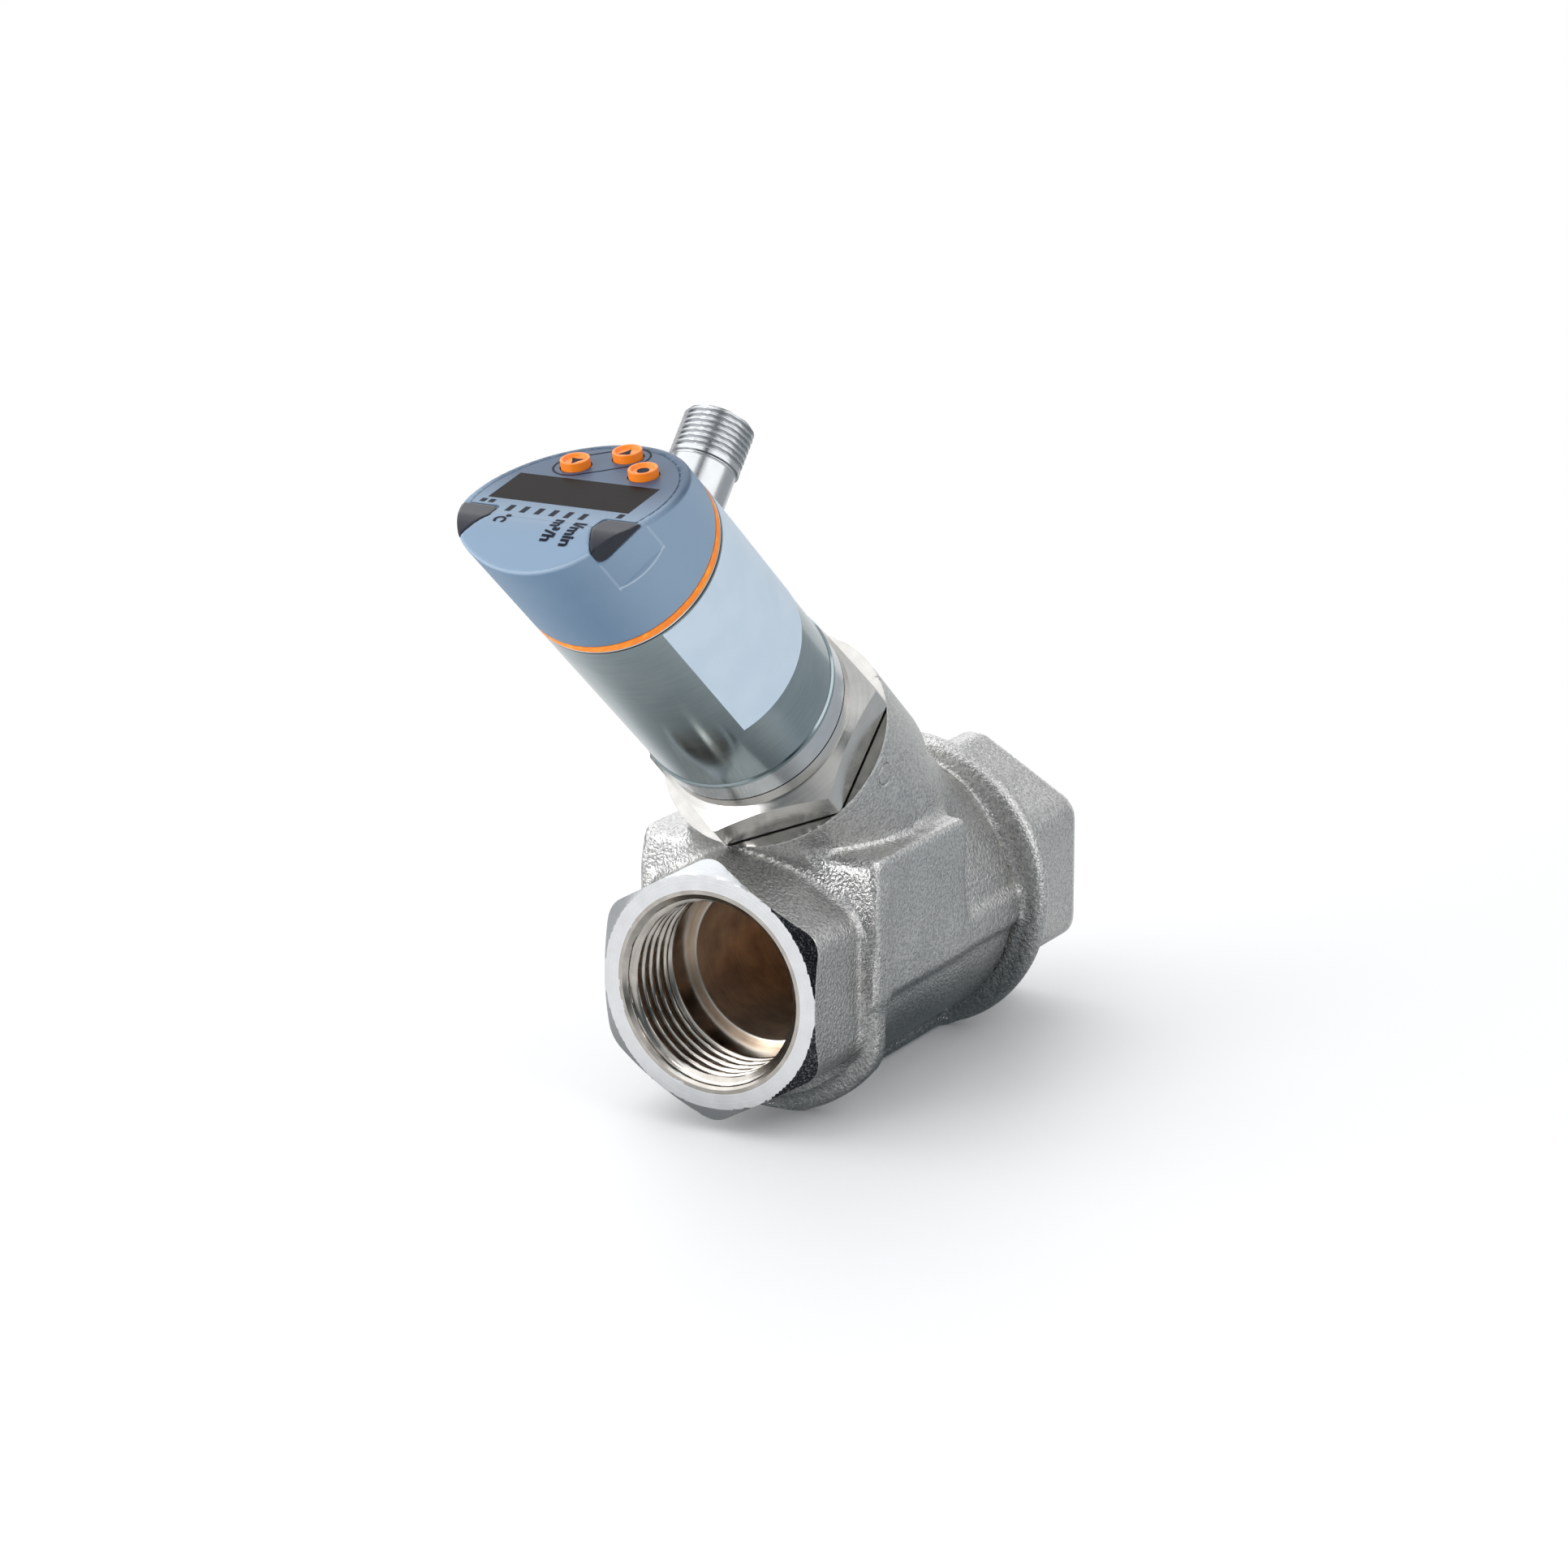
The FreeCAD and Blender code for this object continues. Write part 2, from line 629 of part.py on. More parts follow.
keep(stand_on_branch(turned("piston_seal", [
    (GROOVE_IN, "seat_top"), (GROOVE_OUT, "seat_top"), (GROOVE_OUT, SEAL_TOP), (GROOVE_IN, SEAL_TOP)])),
    "piston_seal")
keep(stand_on_branch(turned("piston_magnet", [
    ("0", STEM_TOP + " - magnet_length"), ("magnet_radius", STEM_TOP + " - magnet_length"),
    ("magnet_radius", STEM_TOP), ("0", STEM_TOP)])), "piston_magnet")

# Piston spring between the head and the base's shoulder. Each half turn is an arc of round wire in its
# own tilted plane, and the arcs run into each other without a kink.
SPRING_FOOT = "(" + HEAD_TOP + " + spring_wire / 2 + thread_gap)"
SPRING_PITCH = "((" + SOCKET_BOTTOM + " - spring_wire / 2 - " + SPRING_FOOT + ") / spring_turns)"
SPRING_TILT = "atan(" + SPRING_PITCH + " / (4 * spring_radius))"


def half_turn(index):
    arc = doc.addObject("Part::Torus", "half_turn_%d" % (index + 1))
    arc.Angle3 = 180
    arc.setExpression("Radius1", bound("spring_radius / cos(" + SPRING_TILT + ")"))
    arc.setExpression("Radius2", bound("spring_wire / 2"))
    middle = SPRING_FOOT + " + " + SPRING_PITCH + " * (2 * %d + 1) / 4" % index
    arc.setExpression("Placement.Base.z", bound(middle))
    if index % 2:
        arc.setExpression("Placement.Rotation.Axis.x", bound("-sin(" + SPRING_TILT + " / 2)"))
        arc.setExpression("Placement.Rotation.Axis.z", bound("cos(" + SPRING_TILT + " / 2)"))
        arc.Placement.Rotation = FreeCAD.Rotation(Z_AXIS, 180)
    else:
        arc.Placement.Rotation = FreeCAD.Rotation(Y_AXIS, 1)
        arc.setExpression("Placement.Rotation.Angle", bound(SPRING_TILT))
    return arc


half_turns = [half_turn(index) for index in range(int(2 * number("spring_turns")))]
keep(stand_on_branch(fused("piston_spring", *half_turns)), "piston_spring")

# Can foot: the swivel ring under the can, with a spigot welded into it.
FOOT_BOTTOM = "(" + RING_TOP + " + running_gap)"
FLANGE_TOP = "(" + FOOT_BOTTOM + " + foot_flange)"
CAN_BORE = "(can_radius - can_wall)"
SPIGOT_BORE = "(" + CAN_BORE + " - foot_wall)"
keep(stand_on_branch(turned("can_foot", [
    ("swivel_radius + fit_gap", FOOT_BOTTOM), ("can_radius", FOOT_BOTTOM), ("can_radius", "can_bottom"),
    (CAN_BORE, "can_bottom"), (CAN_BORE, FLANGE_TOP + " + foot_rise"),
    (SPIGOT_BORE, FLANGE_TOP + " + foot_rise"), (SPIGOT_BORE, FLANGE_TOP),
    ("swivel_radius + fit_gap", FLANGE_TOP)])), "can_foot")

# Can: a thin drawn steel tube with a small rolled lip at its foot and the plug's hole at the back.
can_tube = turned("can_tube", [
    (CAN_BORE, "can_bottom"), ("can_radius + can_lip", "can_bottom"),
    ("can_radius + can_lip", "can_bottom + 2 * can_lip"), ("can_radius", "can_bottom + 3 * can_lip"),
    ("can_radius", "can_top"), (CAN_BORE, "can_top")])
plug_hole = rod("plug_hole", "plug_barrel_radius + fit_gap", "2 * can_radius", ("0", "0", "plug_place"))
plug_hole.Placement.Rotation = FreeCAD.Rotation(X_AXIS, -90)
keep(stand_on_branch(cut("can", can_tube, plug_hole)), "can")

# Type label: a thin sheet round the can's right side.
label = new_body("type_label")
label_section = outline(label, "label_section", "XZ_Plane", [
    ("can_radius", "label_bottom"), ("can_radius + label_thickness", "label_bottom"),
    ("can_radius + label_thickness", "label_top"), ("can_radius", "label_top")])
label_section.AttachmentOffset = FreeCAD.Placement(ORIGIN, FreeCAD.Rotation(Y_AXIS, -45))
label_section.setExpression("AttachmentOffset.Rotation.Angle", bound("label_start_angle"))
label_turn = label.newObject("PartDesign::Revolution", "label_turn")
label_turn.Profile = label_section
label_turn.ReferenceAxis = (label_section, ["V_Axis"])
label_turn.setExpression("Angle", bound("label_sweep_angle"))
doc.recompute()
keep(stand_on_branch(label), "type_label")


def stand_on_plug(item):
    """Turns a piece drawn along Z so that Z is the plug's axis, square to the branch."""
    item.Placement = FreeCAD.Placement(ORIGIN, FreeCAD.Rotation(-X_AXIS, 45))
    item.setExpression("Placement.Base.y", bound("-branch_place - plug_place * cos(branch_angle)"))
    item.setExpression("Placement.Base.z", bound("plug_place * sin(branch_angle)"))
    item.setExpression("Placement.Rotation.Angle", bound("branch_angle"))
    return item


# Plug shell: a turned metal shell, its flange inside the can, with a thread for the cable's nut.
FLANGE_FACE = "(sqrt(" + CAN_BORE + "^2 - plug_flange_radius^2) - thread_gap)"
FLANGE_BACK = "(" + FLANGE_FACE + " - plug_flange_height)"
THREAD_FOOT = "(plug_tip - plug_thread_length)"
keep(stand_on_plug(turned("plug_shell", [
    ("plug_bore_radius", FLANGE_BACK + " - plug_tail"),
    ("plug_barrel_radius", FLANGE_BACK + " - plug_tail"),
    ("plug_barrel_radius", FLANGE_BACK), ("plug_flange_radius", FLANGE_BACK),
    ("plug_flange_radius", FLANGE_FACE), ("plug_barrel_radius", FLANGE_FACE),
    ("plug_barrel_radius", THREAD_FOOT + " - plug_neck_length"),
    ("plug_neck_radius", THREAD_FOOT + " - plug_neck_length"), ("plug_neck_radius", THREAD_FOOT),
    ("plug_thread_radius", THREAD_FOOT), ("plug_thread_radius", "plug_tip - plug_chamfer"),
    ("plug_thread_radius - plug_chamfer", "plug_tip"), ("plug_bore_radius", "plug_tip")])), "plug_shell")

# Plug insert: a moulded cup in the shell that carries the four pins.
insert_cup = stand_on_plug(turned("insert_cup", [
    ("0", FLANGE_BACK + " - insert_tail"), ("plug_bore_radius", FLANGE_BACK + " - insert_tail"),
    ("plug_bore_radius", "plug_tip - insert_sink"),
    ("plug_bore_radius - insert_wall", "plug_tip - insert_sink"),
    ("plug_bore_radius - insert_wall", "plug_tip - insert_floor"), ("0", "plug_tip - insert_floor")]))
PIN_FOOT = "(board_thickness - board_place)"


def pin(quarter):
    angle = "(90 * %d - 45)" % quarter
    centre = ("pin_circle_radius * cos" + angle, "pin_circle_radius * sin" + angle, PIN_FOOT)
    return rod("pin_%d" % quarter, "pin_radius", "plug_tip - pin_sink - " + PIN_FOOT, centre)


plug_pins = stand_on_plug(fused("plug_pins", *[pin(quarter) for quarter in (1, 2, 3, 4)]))
keep(cut("plug_insert", insert_cup, plug_pins), "plug_insert")
keep(plug_pins, "plug_pins")

# Main board on edge in the foot's spigot, its tongue reaching down into the base's well.
BOARD_HALF = "(sqrt(" + SPIGOT_BORE + "^2 - board_place^2) - thread_gap)"
board_panel = box("board_panel", ("-" + BOARD_HALF, "-board_place", "board_bottom"),
                  ("2 * " + BOARD_HALF, "board_thickness", "board_top - board_bottom"))
board_tongue = box("board_tongue", ("-tongue_half_width", "-board_place", "tongue_bottom"),
                   ("2 * tongue_half_width", "board_thickness", "board_bottom - tongue_bottom"))
keep(stand_on_branch(fused("main_board", board_panel, board_tongue)), "main_board")

# Field sensor on the tongue, over the magnet, and the chips on the panel.
BOARD_SIDE = "(board_thickness - board_place)"
keep(stand_on_branch(plate("field_sensor", "XY_Plane", [
    ("-sensor_width / 2", BOARD_SIDE), ("sensor_width / 2", BOARD_SIDE),
    ("sensor_width / 2", BOARD_SIDE + " + sensor_thickness"),
    ("-sensor_width / 2", BOARD_SIDE + " + sensor_thickness")],
    "sensor_width", "tongue_bottom + sensor_rise")), "field_sensor")
controller = box("controller", ("controller_across", BOARD_SIDE, "board_bottom + controller_rise"),
                 ("controller_width", "chip_thickness", "controller_width"))
output = box("output", ("chip_across", BOARD_SIDE, "board_bottom + output_rise"),
             ("output_width", "chip_thickness", "output_height"))
supply = box("supply", ("chip_across", BOARD_SIDE, "board_bottom + supply_rise"),
             ("supply_width", "chip_thickness", "supply_height"))
keep(stand_on_branch(fused("board_chips", controller, output, supply)), "board_chips")

# Display head. The outer form is a round block cut off at the slope, its bend and rim softened.
HEAD_FOOT = "(can_top + ring_gap + ring_height)"
SLOPE_HEIGHT = "(" + HEAD_FOOT + " + head_back_height + can_radius * tan(slope_angle))"
HEAD_HEIGHT = "(" + SLOPE_HEIGHT + " + slope_rise)"
SPIGOT_RADIUS = "(" + CAN_BORE + " - fit_gap)"
FAR = "(2 * can_radius)"


def above_slope(sink):
    """The side view of everything over the slope, which lies at a depth under the outer face."""
    low = SLOPE_HEIGHT + " - (" + sink + ") / cos(slope_angle)"
    top = HEAD_HEIGHT + " - (" + sink + ")"
    bend = "(-((" + top + ") - (" + low + ")) / tan(slope_angle))"
    return [(bend, top), (FAR, "(" + low + ") - " + FAR + " * tan(slope_angle)"),
            (FAR, HEAD_HEIGHT + " + can_radius"), (bend, HEAD_HEIGHT + " + can_radius")]


def sloped_block(name, points, sink):
    body = turned(name, points)
    sketch = outline(body, name + "_slope", "YZ_Plane", above_slope(sink))
    pocket = body.newObject("PartDesign::Pocket", name + "_cut")
    pocket.Profile = sketch
    pocket.SideType = "Symmetric"
    pocket.setExpression("Length", bound("4 * can_radius"))
    doc.recompute()
    return body


head_block = sloped_block("head_block", [
    ("0", "can_top - head_spigot"), (SPIGOT_RADIUS, "can_top - head_spigot"),
    (SPIGOT_RADIUS, "can_top + ring_gap"), ("ring_root_radius", "can_top + ring_gap"),
    ("ring_root_radius", HEAD_FOOT), ("can_radius", HEAD_FOOT), ("can_radius", HEAD_HEIGHT),
    ("0", HEAD_HEIGHT)], "0")


def head_bend(edge):
    """The straight edge between the slope and the flat top."""
    return runs_along(X_AXIS)(edge) and edge.CenterOfMass.z > number(SLOPE_HEIGHT)


def head_rim(edge):
    """A curved edge between the head's side and its face."""
    if isinstance(edge.Curve, Part.Line) or edge.CenterOfMass.z < number(HEAD_FOOT + " + margin"):
        return False
    point = edge.valueAt((edge.FirstParameter + edge.LastParameter) / 2)
    return abs(math.hypot(point.x, point.y) - number("can_radius")) < CLOSE


rounded(head_block, "bend_round", head_bend)
rounded(head_block, "head_round", head_rim)


def facet(name, angle):
    """The block that cuts a flat on the head's side under a lamp window, facing at an angle."""
    corners = []
    for out, side in (("", "-"), (" + can_radius", "-"), (" + can_radius", ""), ("", "")):
        far, swing = "(facet_distance%s)" % out, "(%scan_radius)" % side
        corners.append(("%s * cos%s - %s * sin%s" % (far, angle, swing, angle),
                        "%s * sin%s + %s * cos%s" % (far, angle, swing, angle)))
    return plate(name, "XY_Plane", corners, HEAD_HEIGHT, HEAD_HEIGHT + " - facet_drop")


facets = fused("facets", facet("facet_right", "(-facet_turn)"), facet("facet_left", "(facet_turn - 180)"))
head_form = cut("head_form", head_block, facets)
CORE_FOOT = "(can_top - head_spigot - margin)"
head_core = sloped_block("head_core", [
    ("0", CORE_FOOT), ("can_radius - head_wall", CORE_FOOT),
    ("can_radius - head_wall", HEAD_HEIGHT + " - head_wall"), ("0", HEAD_HEIGHT + " - head_wall")],
    "head_wall")


def lamp_box(name, low):
    return box(name, (low, "-lamp_far", HEAD_HEIGHT + " - lamp_drop"),
               ("can_radius", "lamp_far - lamp_near", "can_radius"))


lamp_right_box = lamp_box("lamp_right_box", "lamp_inner")
lamp_left_box = lamp_box("lamp_left_box", "-lamp_inner - can_radius")


def on_slope(item):
    """Lays a cutter drawn on the XY plane onto the head's slope."""
    item.Placement = FreeCAD.Placement(item.Placement.Base, FreeCAD.Rotation(-X_AXIS, 45))
    item.setExpression("Placement.Base.z", bound(SLOPE_HEIGHT))
    item.setExpression("Placement.Rotation.Angle", bound("slope_angle"))
    return item


def stand_on_slope(item):
    """Lays a finished piece drawn on the XY plane onto the head's slope."""
    item.Placement = FreeCAD.Placement(ORIGIN, FreeCAD.Rotation(X_AXIS, 10))
    item.setExpression("Placement.Base.y",
                       bound("-branch_place - " + SLOPE_HEIGHT + " * cos(branch_angle)"))
    item.setExpression("Placement.Base.z", bound(SLOPE_HEIGHT + " * sin(branch_angle)"))
    item.setExpression("Placement.Rotation.Angle", bound("90 - branch_angle - slope_angle"))
    return item


WINDOW = [("-window_left", "-window_low"), ("window_right", "-window_low"), ("window_right", "window_high"),
          ("-window_left", "window_high")]
BUTTONS = [("button_up", "up_across", "up_along"), ("button_down", "down_across", "down_along"),
           ("button_enter", "enter_across", "enter_along")]


def button_hole(name, across, along):
    body = new_body(name)
    raised(body, circle(body, name + "_profile", "XY_Plane", "button_radius + button_gap", (across, along)),
           "6 * head_wall", both_ways=True)
    return body


window_cut = plate("window_cut", "XY_Plane", WINDOW, "6 * head_wall", both_ways=True)
button_holes = [button_hole(name + "_hole", across, along) for name, across, along in BUTTONS]
face_holes = on_slope(fused("face_holes", window_cut, *button_holes))
FOIL_EDGE = "(foil_thickness / cos(slope_angle))"
SLOPE_END = "(" + SLOPE_HEIGHT + " - " + FAR + " * tan(slope_angle))"
FOIL_END = "(" + SLOPE_HEIGHT + " + foil_top * tan(slope_angle))"
foil_sheet = plate("foil_sheet", "YZ_Plane", [
    ("-foil_top", FOIL_END), (FAR, SLOPE_END), (FAR, SLOPE_END + " - " + FOIL_EDGE),
    ("-foil_top", FOIL_END + " - " + FOIL_EDGE)], "4 * can_radius", both_ways=True)
foil_rod = rod("foil_rod", "can_radius - foil_inset", "2 * can_radius", ("0", "0", "can_top"))
foil_form = shared("foil_form", foil_sheet, foil_rod)
head_cuts = fused("head_cuts", head_core, lamp_right_box, lamp_left_box, foil_form, face_holes)
keep(stand_on_branch(cut("head_cap", head_form, head_cuts)), "head_cap")
foil_cuts = fused("foil_cuts", face_holes, lamp_right_box, lamp_left_box)
keep(stand_on_branch(cut("face_foil", foil_form, foil_cuts)), "face_foil")
keep(stand_on_branch(shared("lamp_right", head_form, lamp_right_box)), "lamp_right")
keep(stand_on_branch(shared("lamp_left", head_form, lamp_left_box)), "lamp_left")

# Sealing ring in the groove under the head.
keep(stand_on_branch(turned("head_ring", [
    ("ring_root_radius", "can_top + ring_gap"), ("can_radius", "can_top + ring_gap"),
    ("can_radius", HEAD_FOOT), ("ring_root_radius", HEAD_FOOT)])), "head_ring")

# Display window in the slope, the screen behind it and the board that carries both.
SCREEN_TOP = "(-window_thickness - thread_gap)"
BOARD_FACE = "(-screen_depth - window_thickness)"
keep(stand_on_slope(plate("display_window", "XY_Plane", WINDOW, "window_thickness", "-window_thickness")),
     "display_window")
keep(stand_on_slope(plate("screen", "XY_Plane", [
    ("screen_inset - window_left", "screen_inset - window_low"),
    ("window_right - screen_inset", "screen_inset - window_low"),
    ("window_right - screen_inset", "window_high - screen_inset"),
    ("screen_inset - window_left", "window_high - screen_inset")],
    SCREEN_TOP + " - " + BOARD_FACE, BOARD_FACE)), "screen")
keep(stand_on_slope(plate("screen_board", "XY_Plane", [
    ("-screen_board_end", "-screen_board_low"), ("screen_board_end", "-screen_board_low"),
    ("screen_board_half_width", "-screen_board_wide_low"),
    ("screen_board_half_width", "screen_board_wide_high"),
    ("screen_board_end", "screen_board_high"), ("-screen_board_end", "screen_board_high"),
    ("-screen_board_half_width", "screen_board_wide_high"),
    ("-screen_board_half_width", "-screen_board_wide_low")],
    "screen_board_thickness", BOARD_FACE + " - screen_board_thickness")), "screen_board")


# Push buttons: a dished cap through the head's wall, held by a flange under it.
SWITCH_TOP = "(" + BOARD_FACE + " + switch_height)"
POST_END = "(" + SWITCH_TOP + " + button_travel + fit_gap)"
FLANGE_RADIUS = "(button_radius + button_flange)"
WALL_UNDERSIDE = "(-head_wall - thread_gap)"


def push_button(name, across, along):
    body = turned(name, [
        ("0", "button_rise - button_dish"), ("button_dish_radius", "button_rise - button_dish"),
        ("button_lip_radius", "button_rise"), ("button_radius - button_shoulder", "button_rise"),
        ("button_radius", "button_rise - button_shoulder"), ("button_radius", WALL_UNDERSIDE),
        (FLANGE_RADIUS, WALL_UNDERSIDE), (FLANGE_RADIUS, "-head_wall - button_flange"),
        ("button_post_radius", "-head_wall - button_flange"), ("button_post_radius", POST_END),
        ("0", POST_END)])
    body.Placement = FreeCAD.Placement(ORIGIN, FreeCAD.Rotation(X_AXIS, 10))
    turn = "(90 - branch_angle - slope_angle)"
    back = "-branch_place - %s * cos(branch_angle) + %s * cos%s" % (SLOPE_HEIGHT, along, turn)
    up = "%s * sin(branch_angle) + %s * sin%s" % (SLOPE_HEIGHT, along, turn)
    body.setExpression("Placement.Base.x", bound(across))
    body.setExpression("Placement.Base.y", bound(back))
    body.setExpression("Placement.Base.z", bound(up))
    body.setExpression("Placement.Rotation.Angle", bound(turn))
    return body


for name, across, along in BUTTONS:
    keep(push_button(name, across, along), name)

# A switch under each button and a row of lamps above the window.
def button_switch(name, across, along):
    return box(name, (across + " - switch_width / 2", along + " - switch_width / 2", BOARD_FACE),
               ("switch_width", "switch_width", "switch_height"))


switches = [button_switch(name + "_switch", across, along) for name, across, along in BUTTONS]
keep(stand_on_slope(fused("button_switches", *switches)), "button_switches")


def lamp_chip(index):
    across = "lamp_row_start + %d * lamp_row_step - lamp_chip_length / 2" % index
    return box("lamp_chip_%d" % (index + 1), (across, "-lamp_row_height - lamp_chip_width / 2", BOARD_FACE),
               ("lamp_chip_length", "lamp_chip_width", "lamp_chip_width"))


keep(stand_on_slope(fused("lamp_chips", *[lamp_chip(index) for index in range(6)])), "lamp_chips")

doc.recompute()
failed = [item.Name for item in doc.Objects if "Invalid" in item.State or "Error" in item.State]
for item in kept:
    if item.Shape.isNull() or not item.Shape.isValid() or item.Shape.Volume <= 0:
        failed.append(item.Label)
if failed:
    raise RuntimeError("not built: " + ", ".join(failed))

os.makedirs("parts", exist_ok=True)
for item in kept:
    item.Shape.exportStep("parts/" + item.Label + ".step")
    print("%-16s %2d solids %10.1f mm3" % (item.Label, len(item.Shape.Solids), item.Shape.Volume))
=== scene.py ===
import bmesh
import bpy
import math
import numpy as np
from mathutils import Matrix, Vector


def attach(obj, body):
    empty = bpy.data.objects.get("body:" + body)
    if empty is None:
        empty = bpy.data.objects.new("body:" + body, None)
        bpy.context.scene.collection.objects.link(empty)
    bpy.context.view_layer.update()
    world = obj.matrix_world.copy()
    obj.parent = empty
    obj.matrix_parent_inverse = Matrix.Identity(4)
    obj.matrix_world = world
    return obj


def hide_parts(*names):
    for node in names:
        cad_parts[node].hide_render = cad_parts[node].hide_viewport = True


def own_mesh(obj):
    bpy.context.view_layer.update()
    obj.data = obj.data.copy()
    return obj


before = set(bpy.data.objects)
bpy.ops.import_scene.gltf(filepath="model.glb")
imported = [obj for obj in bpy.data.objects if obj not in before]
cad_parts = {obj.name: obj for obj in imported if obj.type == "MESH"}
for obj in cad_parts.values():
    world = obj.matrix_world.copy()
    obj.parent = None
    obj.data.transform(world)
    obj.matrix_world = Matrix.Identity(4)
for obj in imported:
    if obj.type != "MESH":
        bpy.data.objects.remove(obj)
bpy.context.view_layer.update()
MM = 0.001



# Camera: a long lens above the display head and to the right of the near port. Its place and turn
# follow from the hexagon, the collars, the can's ends and the head's outline in the picture.
def linked(name, data):
    """A new object with this data, in the scene."""
    item = bpy.data.objects.new(name, data)
    bpy.context.scene.collection.objects.link(item)
    return item


camera_place = Vector((370.54, -699.72, 237.91)) * MM
camera_azimuth = math.radians(30.446)
camera_elevation = math.radians(15.875)
camera_roll = math.radians(-0.269)
back = Vector((math.sin(camera_azimuth) * math.cos(camera_elevation),
               -math.cos(camera_azimuth) * math.cos(camera_elevation), math.sin(camera_elevation)))
level = Vector((math.cos(camera_azimuth), math.sin(camera_azimuth), 0))
upward = back.cross(level)
right = math.cos(camera_roll) * level + math.sin(camera_roll) * upward
upward = math.cos(camera_roll) * upward - math.sin(camera_roll) * level
camera_data = bpy.data.cameras.new("camera")
camera_data.sensor_width = 36.0
camera_data.lens = 102.9
camera_data.clip_start = 0.01
camera = linked("camera", camera_data)
camera.matrix_world = Matrix.Translation(camera_place) @ Matrix((right, upward, back)).transposed().to_4x4()
bpy.context.scene.camera = camera
bpy.context.scene.view_settings.view_transform = "Standard"


# Floor: a wide pale matt sheet under the foot rib, which fades to white far off. What the metal mirrors
# of it is a glow, painted darker near the part as painted shade, and darker in front of it and beside it, as
# grey cards in a studio would be.
class Wire:
    """A socket of a node tree. Sums and products of wires add their own Math nodes to the tree."""

    def __init__(self, tree, node=None, output=0):
        self.tree, self.node, self.output = tree, node, output

    def make(self, kind, settings, sockets):
        node = self.tree.nodes.new(kind)
        for name, value in settings.items():
            if name == "stops":
                while len(node.color_ramp.elements) < len(value):
                    node.color_ramp.elements.new(1.0)
                for element, (place, colour) in zip(node.color_ramp.elements, value):
                    element.position = place
                    element.color = colour
            else:
                setattr(node, name, value)
        for name, value in sockets.items():
            if isinstance(value, Wire):
                self.tree.links.new(value.node.outputs[value.output], node.inputs[name])
            else:
                node.inputs[name].default_value = value
        return Wire(self.tree, node)

    def get(self, output):
        return Wire(self.tree, self.node, output)

    def math(self, operation, *values):
        return self.make("ShaderNodeMath", {"operation": operation}, dict(enumerate(values)))

    def __add__(self, other):
        return self.math("ADD", self, other)

    def __radd__(self, other):
        return self.math("ADD", other, self)

    def __sub__(self, other):
        return self.math("SUBTRACT", self, other)

    def __rsub__(self, other):
        return self.math("SUBTRACT", other, self)

    def __mul__(self, other):
        return self.math("MULTIPLY", self, other)

    def __rmul__(self, other):
        return self.math("MULTIPLY", other, self)

    def __truediv__(self, other):
        return self.math("DIVIDE", self, other)

    def root(self):
        return self.math("SQRT", self)

    def absolute(self):
        return self.math("ABSOLUTE", self)

    def fraction(self):
        return self.math("FRACT", self)

    def step(self, low, high):
        """0 below low, 1 above high, smooth between."""
        return self.make("ShaderNodeMapRange", {"interpolation_type": "SMOOTHSTEP"},
                         {"Value": self, "From Min": low, "From Max": high})

    def mix(self, first, second):
        """A colour between two colours, with this wire as the share of the second."""
        return self.make("ShaderNodeMix", {"data_type": "RGBA"}, {0: self, 6: first, 7: second}).get(2)


def colour(red, green, blue):
    """An sRGB colour of 0 to 255 as the shader's own values."""
    def linear(value):
        value = value / 255
        return value / 12.92 if value <= 0.04045 else ((value + 0.055) / 1.055) ** 2.4
    return (linear(red), linear(green), linear(blue), 1.0)


def mottled(cloud, grain, dark, bright):
    """A colour that wanders between two, mostly with the cloud and partly with the grain."""
    return (cloud * 0.6 + grain * 0.4).step(0.3, 0.7).mix(dark, bright)


def shaded(tone, share):
    """A colour made darker or lighter by a share."""
    return tuple(min(1.0, part * share) for part in tone[:3]) + (1.0,)


class Finish:
    """A material with its shader, ready for patterns in the piece's own coordinates, in millimetres."""

    def __init__(self, name, **constants):
        self.material = bpy.data.materials.new(name)
        self.material.use_nodes = True
        tree = self.material.node_tree
        tree.nodes.clear()
        self.start = Wire(tree)
        self.shader = self.start.make("ShaderNodeBsdfPrincipled", {}, {
            key.replace("_", " "): value for key, value in constants.items()})
        self.output = self.start.make("ShaderNodeOutputMaterial", {}, {"Surface": self.shader})
        place = self.start.make("ShaderNodeTexCoord", {}, {}).get("Object")
        self.place = self.start.make("ShaderNodeMapping", {}, {"Vector": place, "Scale": (1000, 1000, 1000)})

    def turned_to(self, offset, turn):
        """The coordinates about another axis: moved, then turned about X."""
        moved = self.start.make("ShaderNodeMapping", {}, {"Vector": self.place, "Location": offset})
        return self.start.make("ShaderNodeMapping", {}, {"Vector": moved, "Rotation": (turn, 0, 0)})

    def split(self, vector):
        parts = self.start.make("ShaderNodeSeparateXYZ", {}, {"Vector": vector})
        return parts.get(0), parts.get(1), parts.get(2)

    def noise(self, vector, scale, detail=2.0, roughness=0.5):
        return self.start.make("ShaderNodeTexNoise", {}, {
            "Vector": vector, "Scale": scale, "Detail": detail, "Roughness": roughness}).get("Fac")

    def line_noise(self, value, scale, detail, roughness):
        return self.start.make("ShaderNodeTexNoise", {"noise_dimensions": "1D"}, {
            "W": value, "Scale": scale, "Detail": detail, "Roughness": roughness}).get("Fac")

    def bump(self, height, strength, distance, base=None):
        """A bump of a height in millimetres."""
        sockets = {"Height": height, "Strength": strength, "Distance": distance * MM}
        if base:
            sockets["Normal"] = base
        return self.start.make("ShaderNodeBump", {}, sockets)

    def feed(self, **wires):
        for key, wire in wires.items():
            self.start.tree.links.new(wire.node.outputs[wire.output],
                                      self.shader.node.inputs[key.replace("_", " ")])
        return self.material


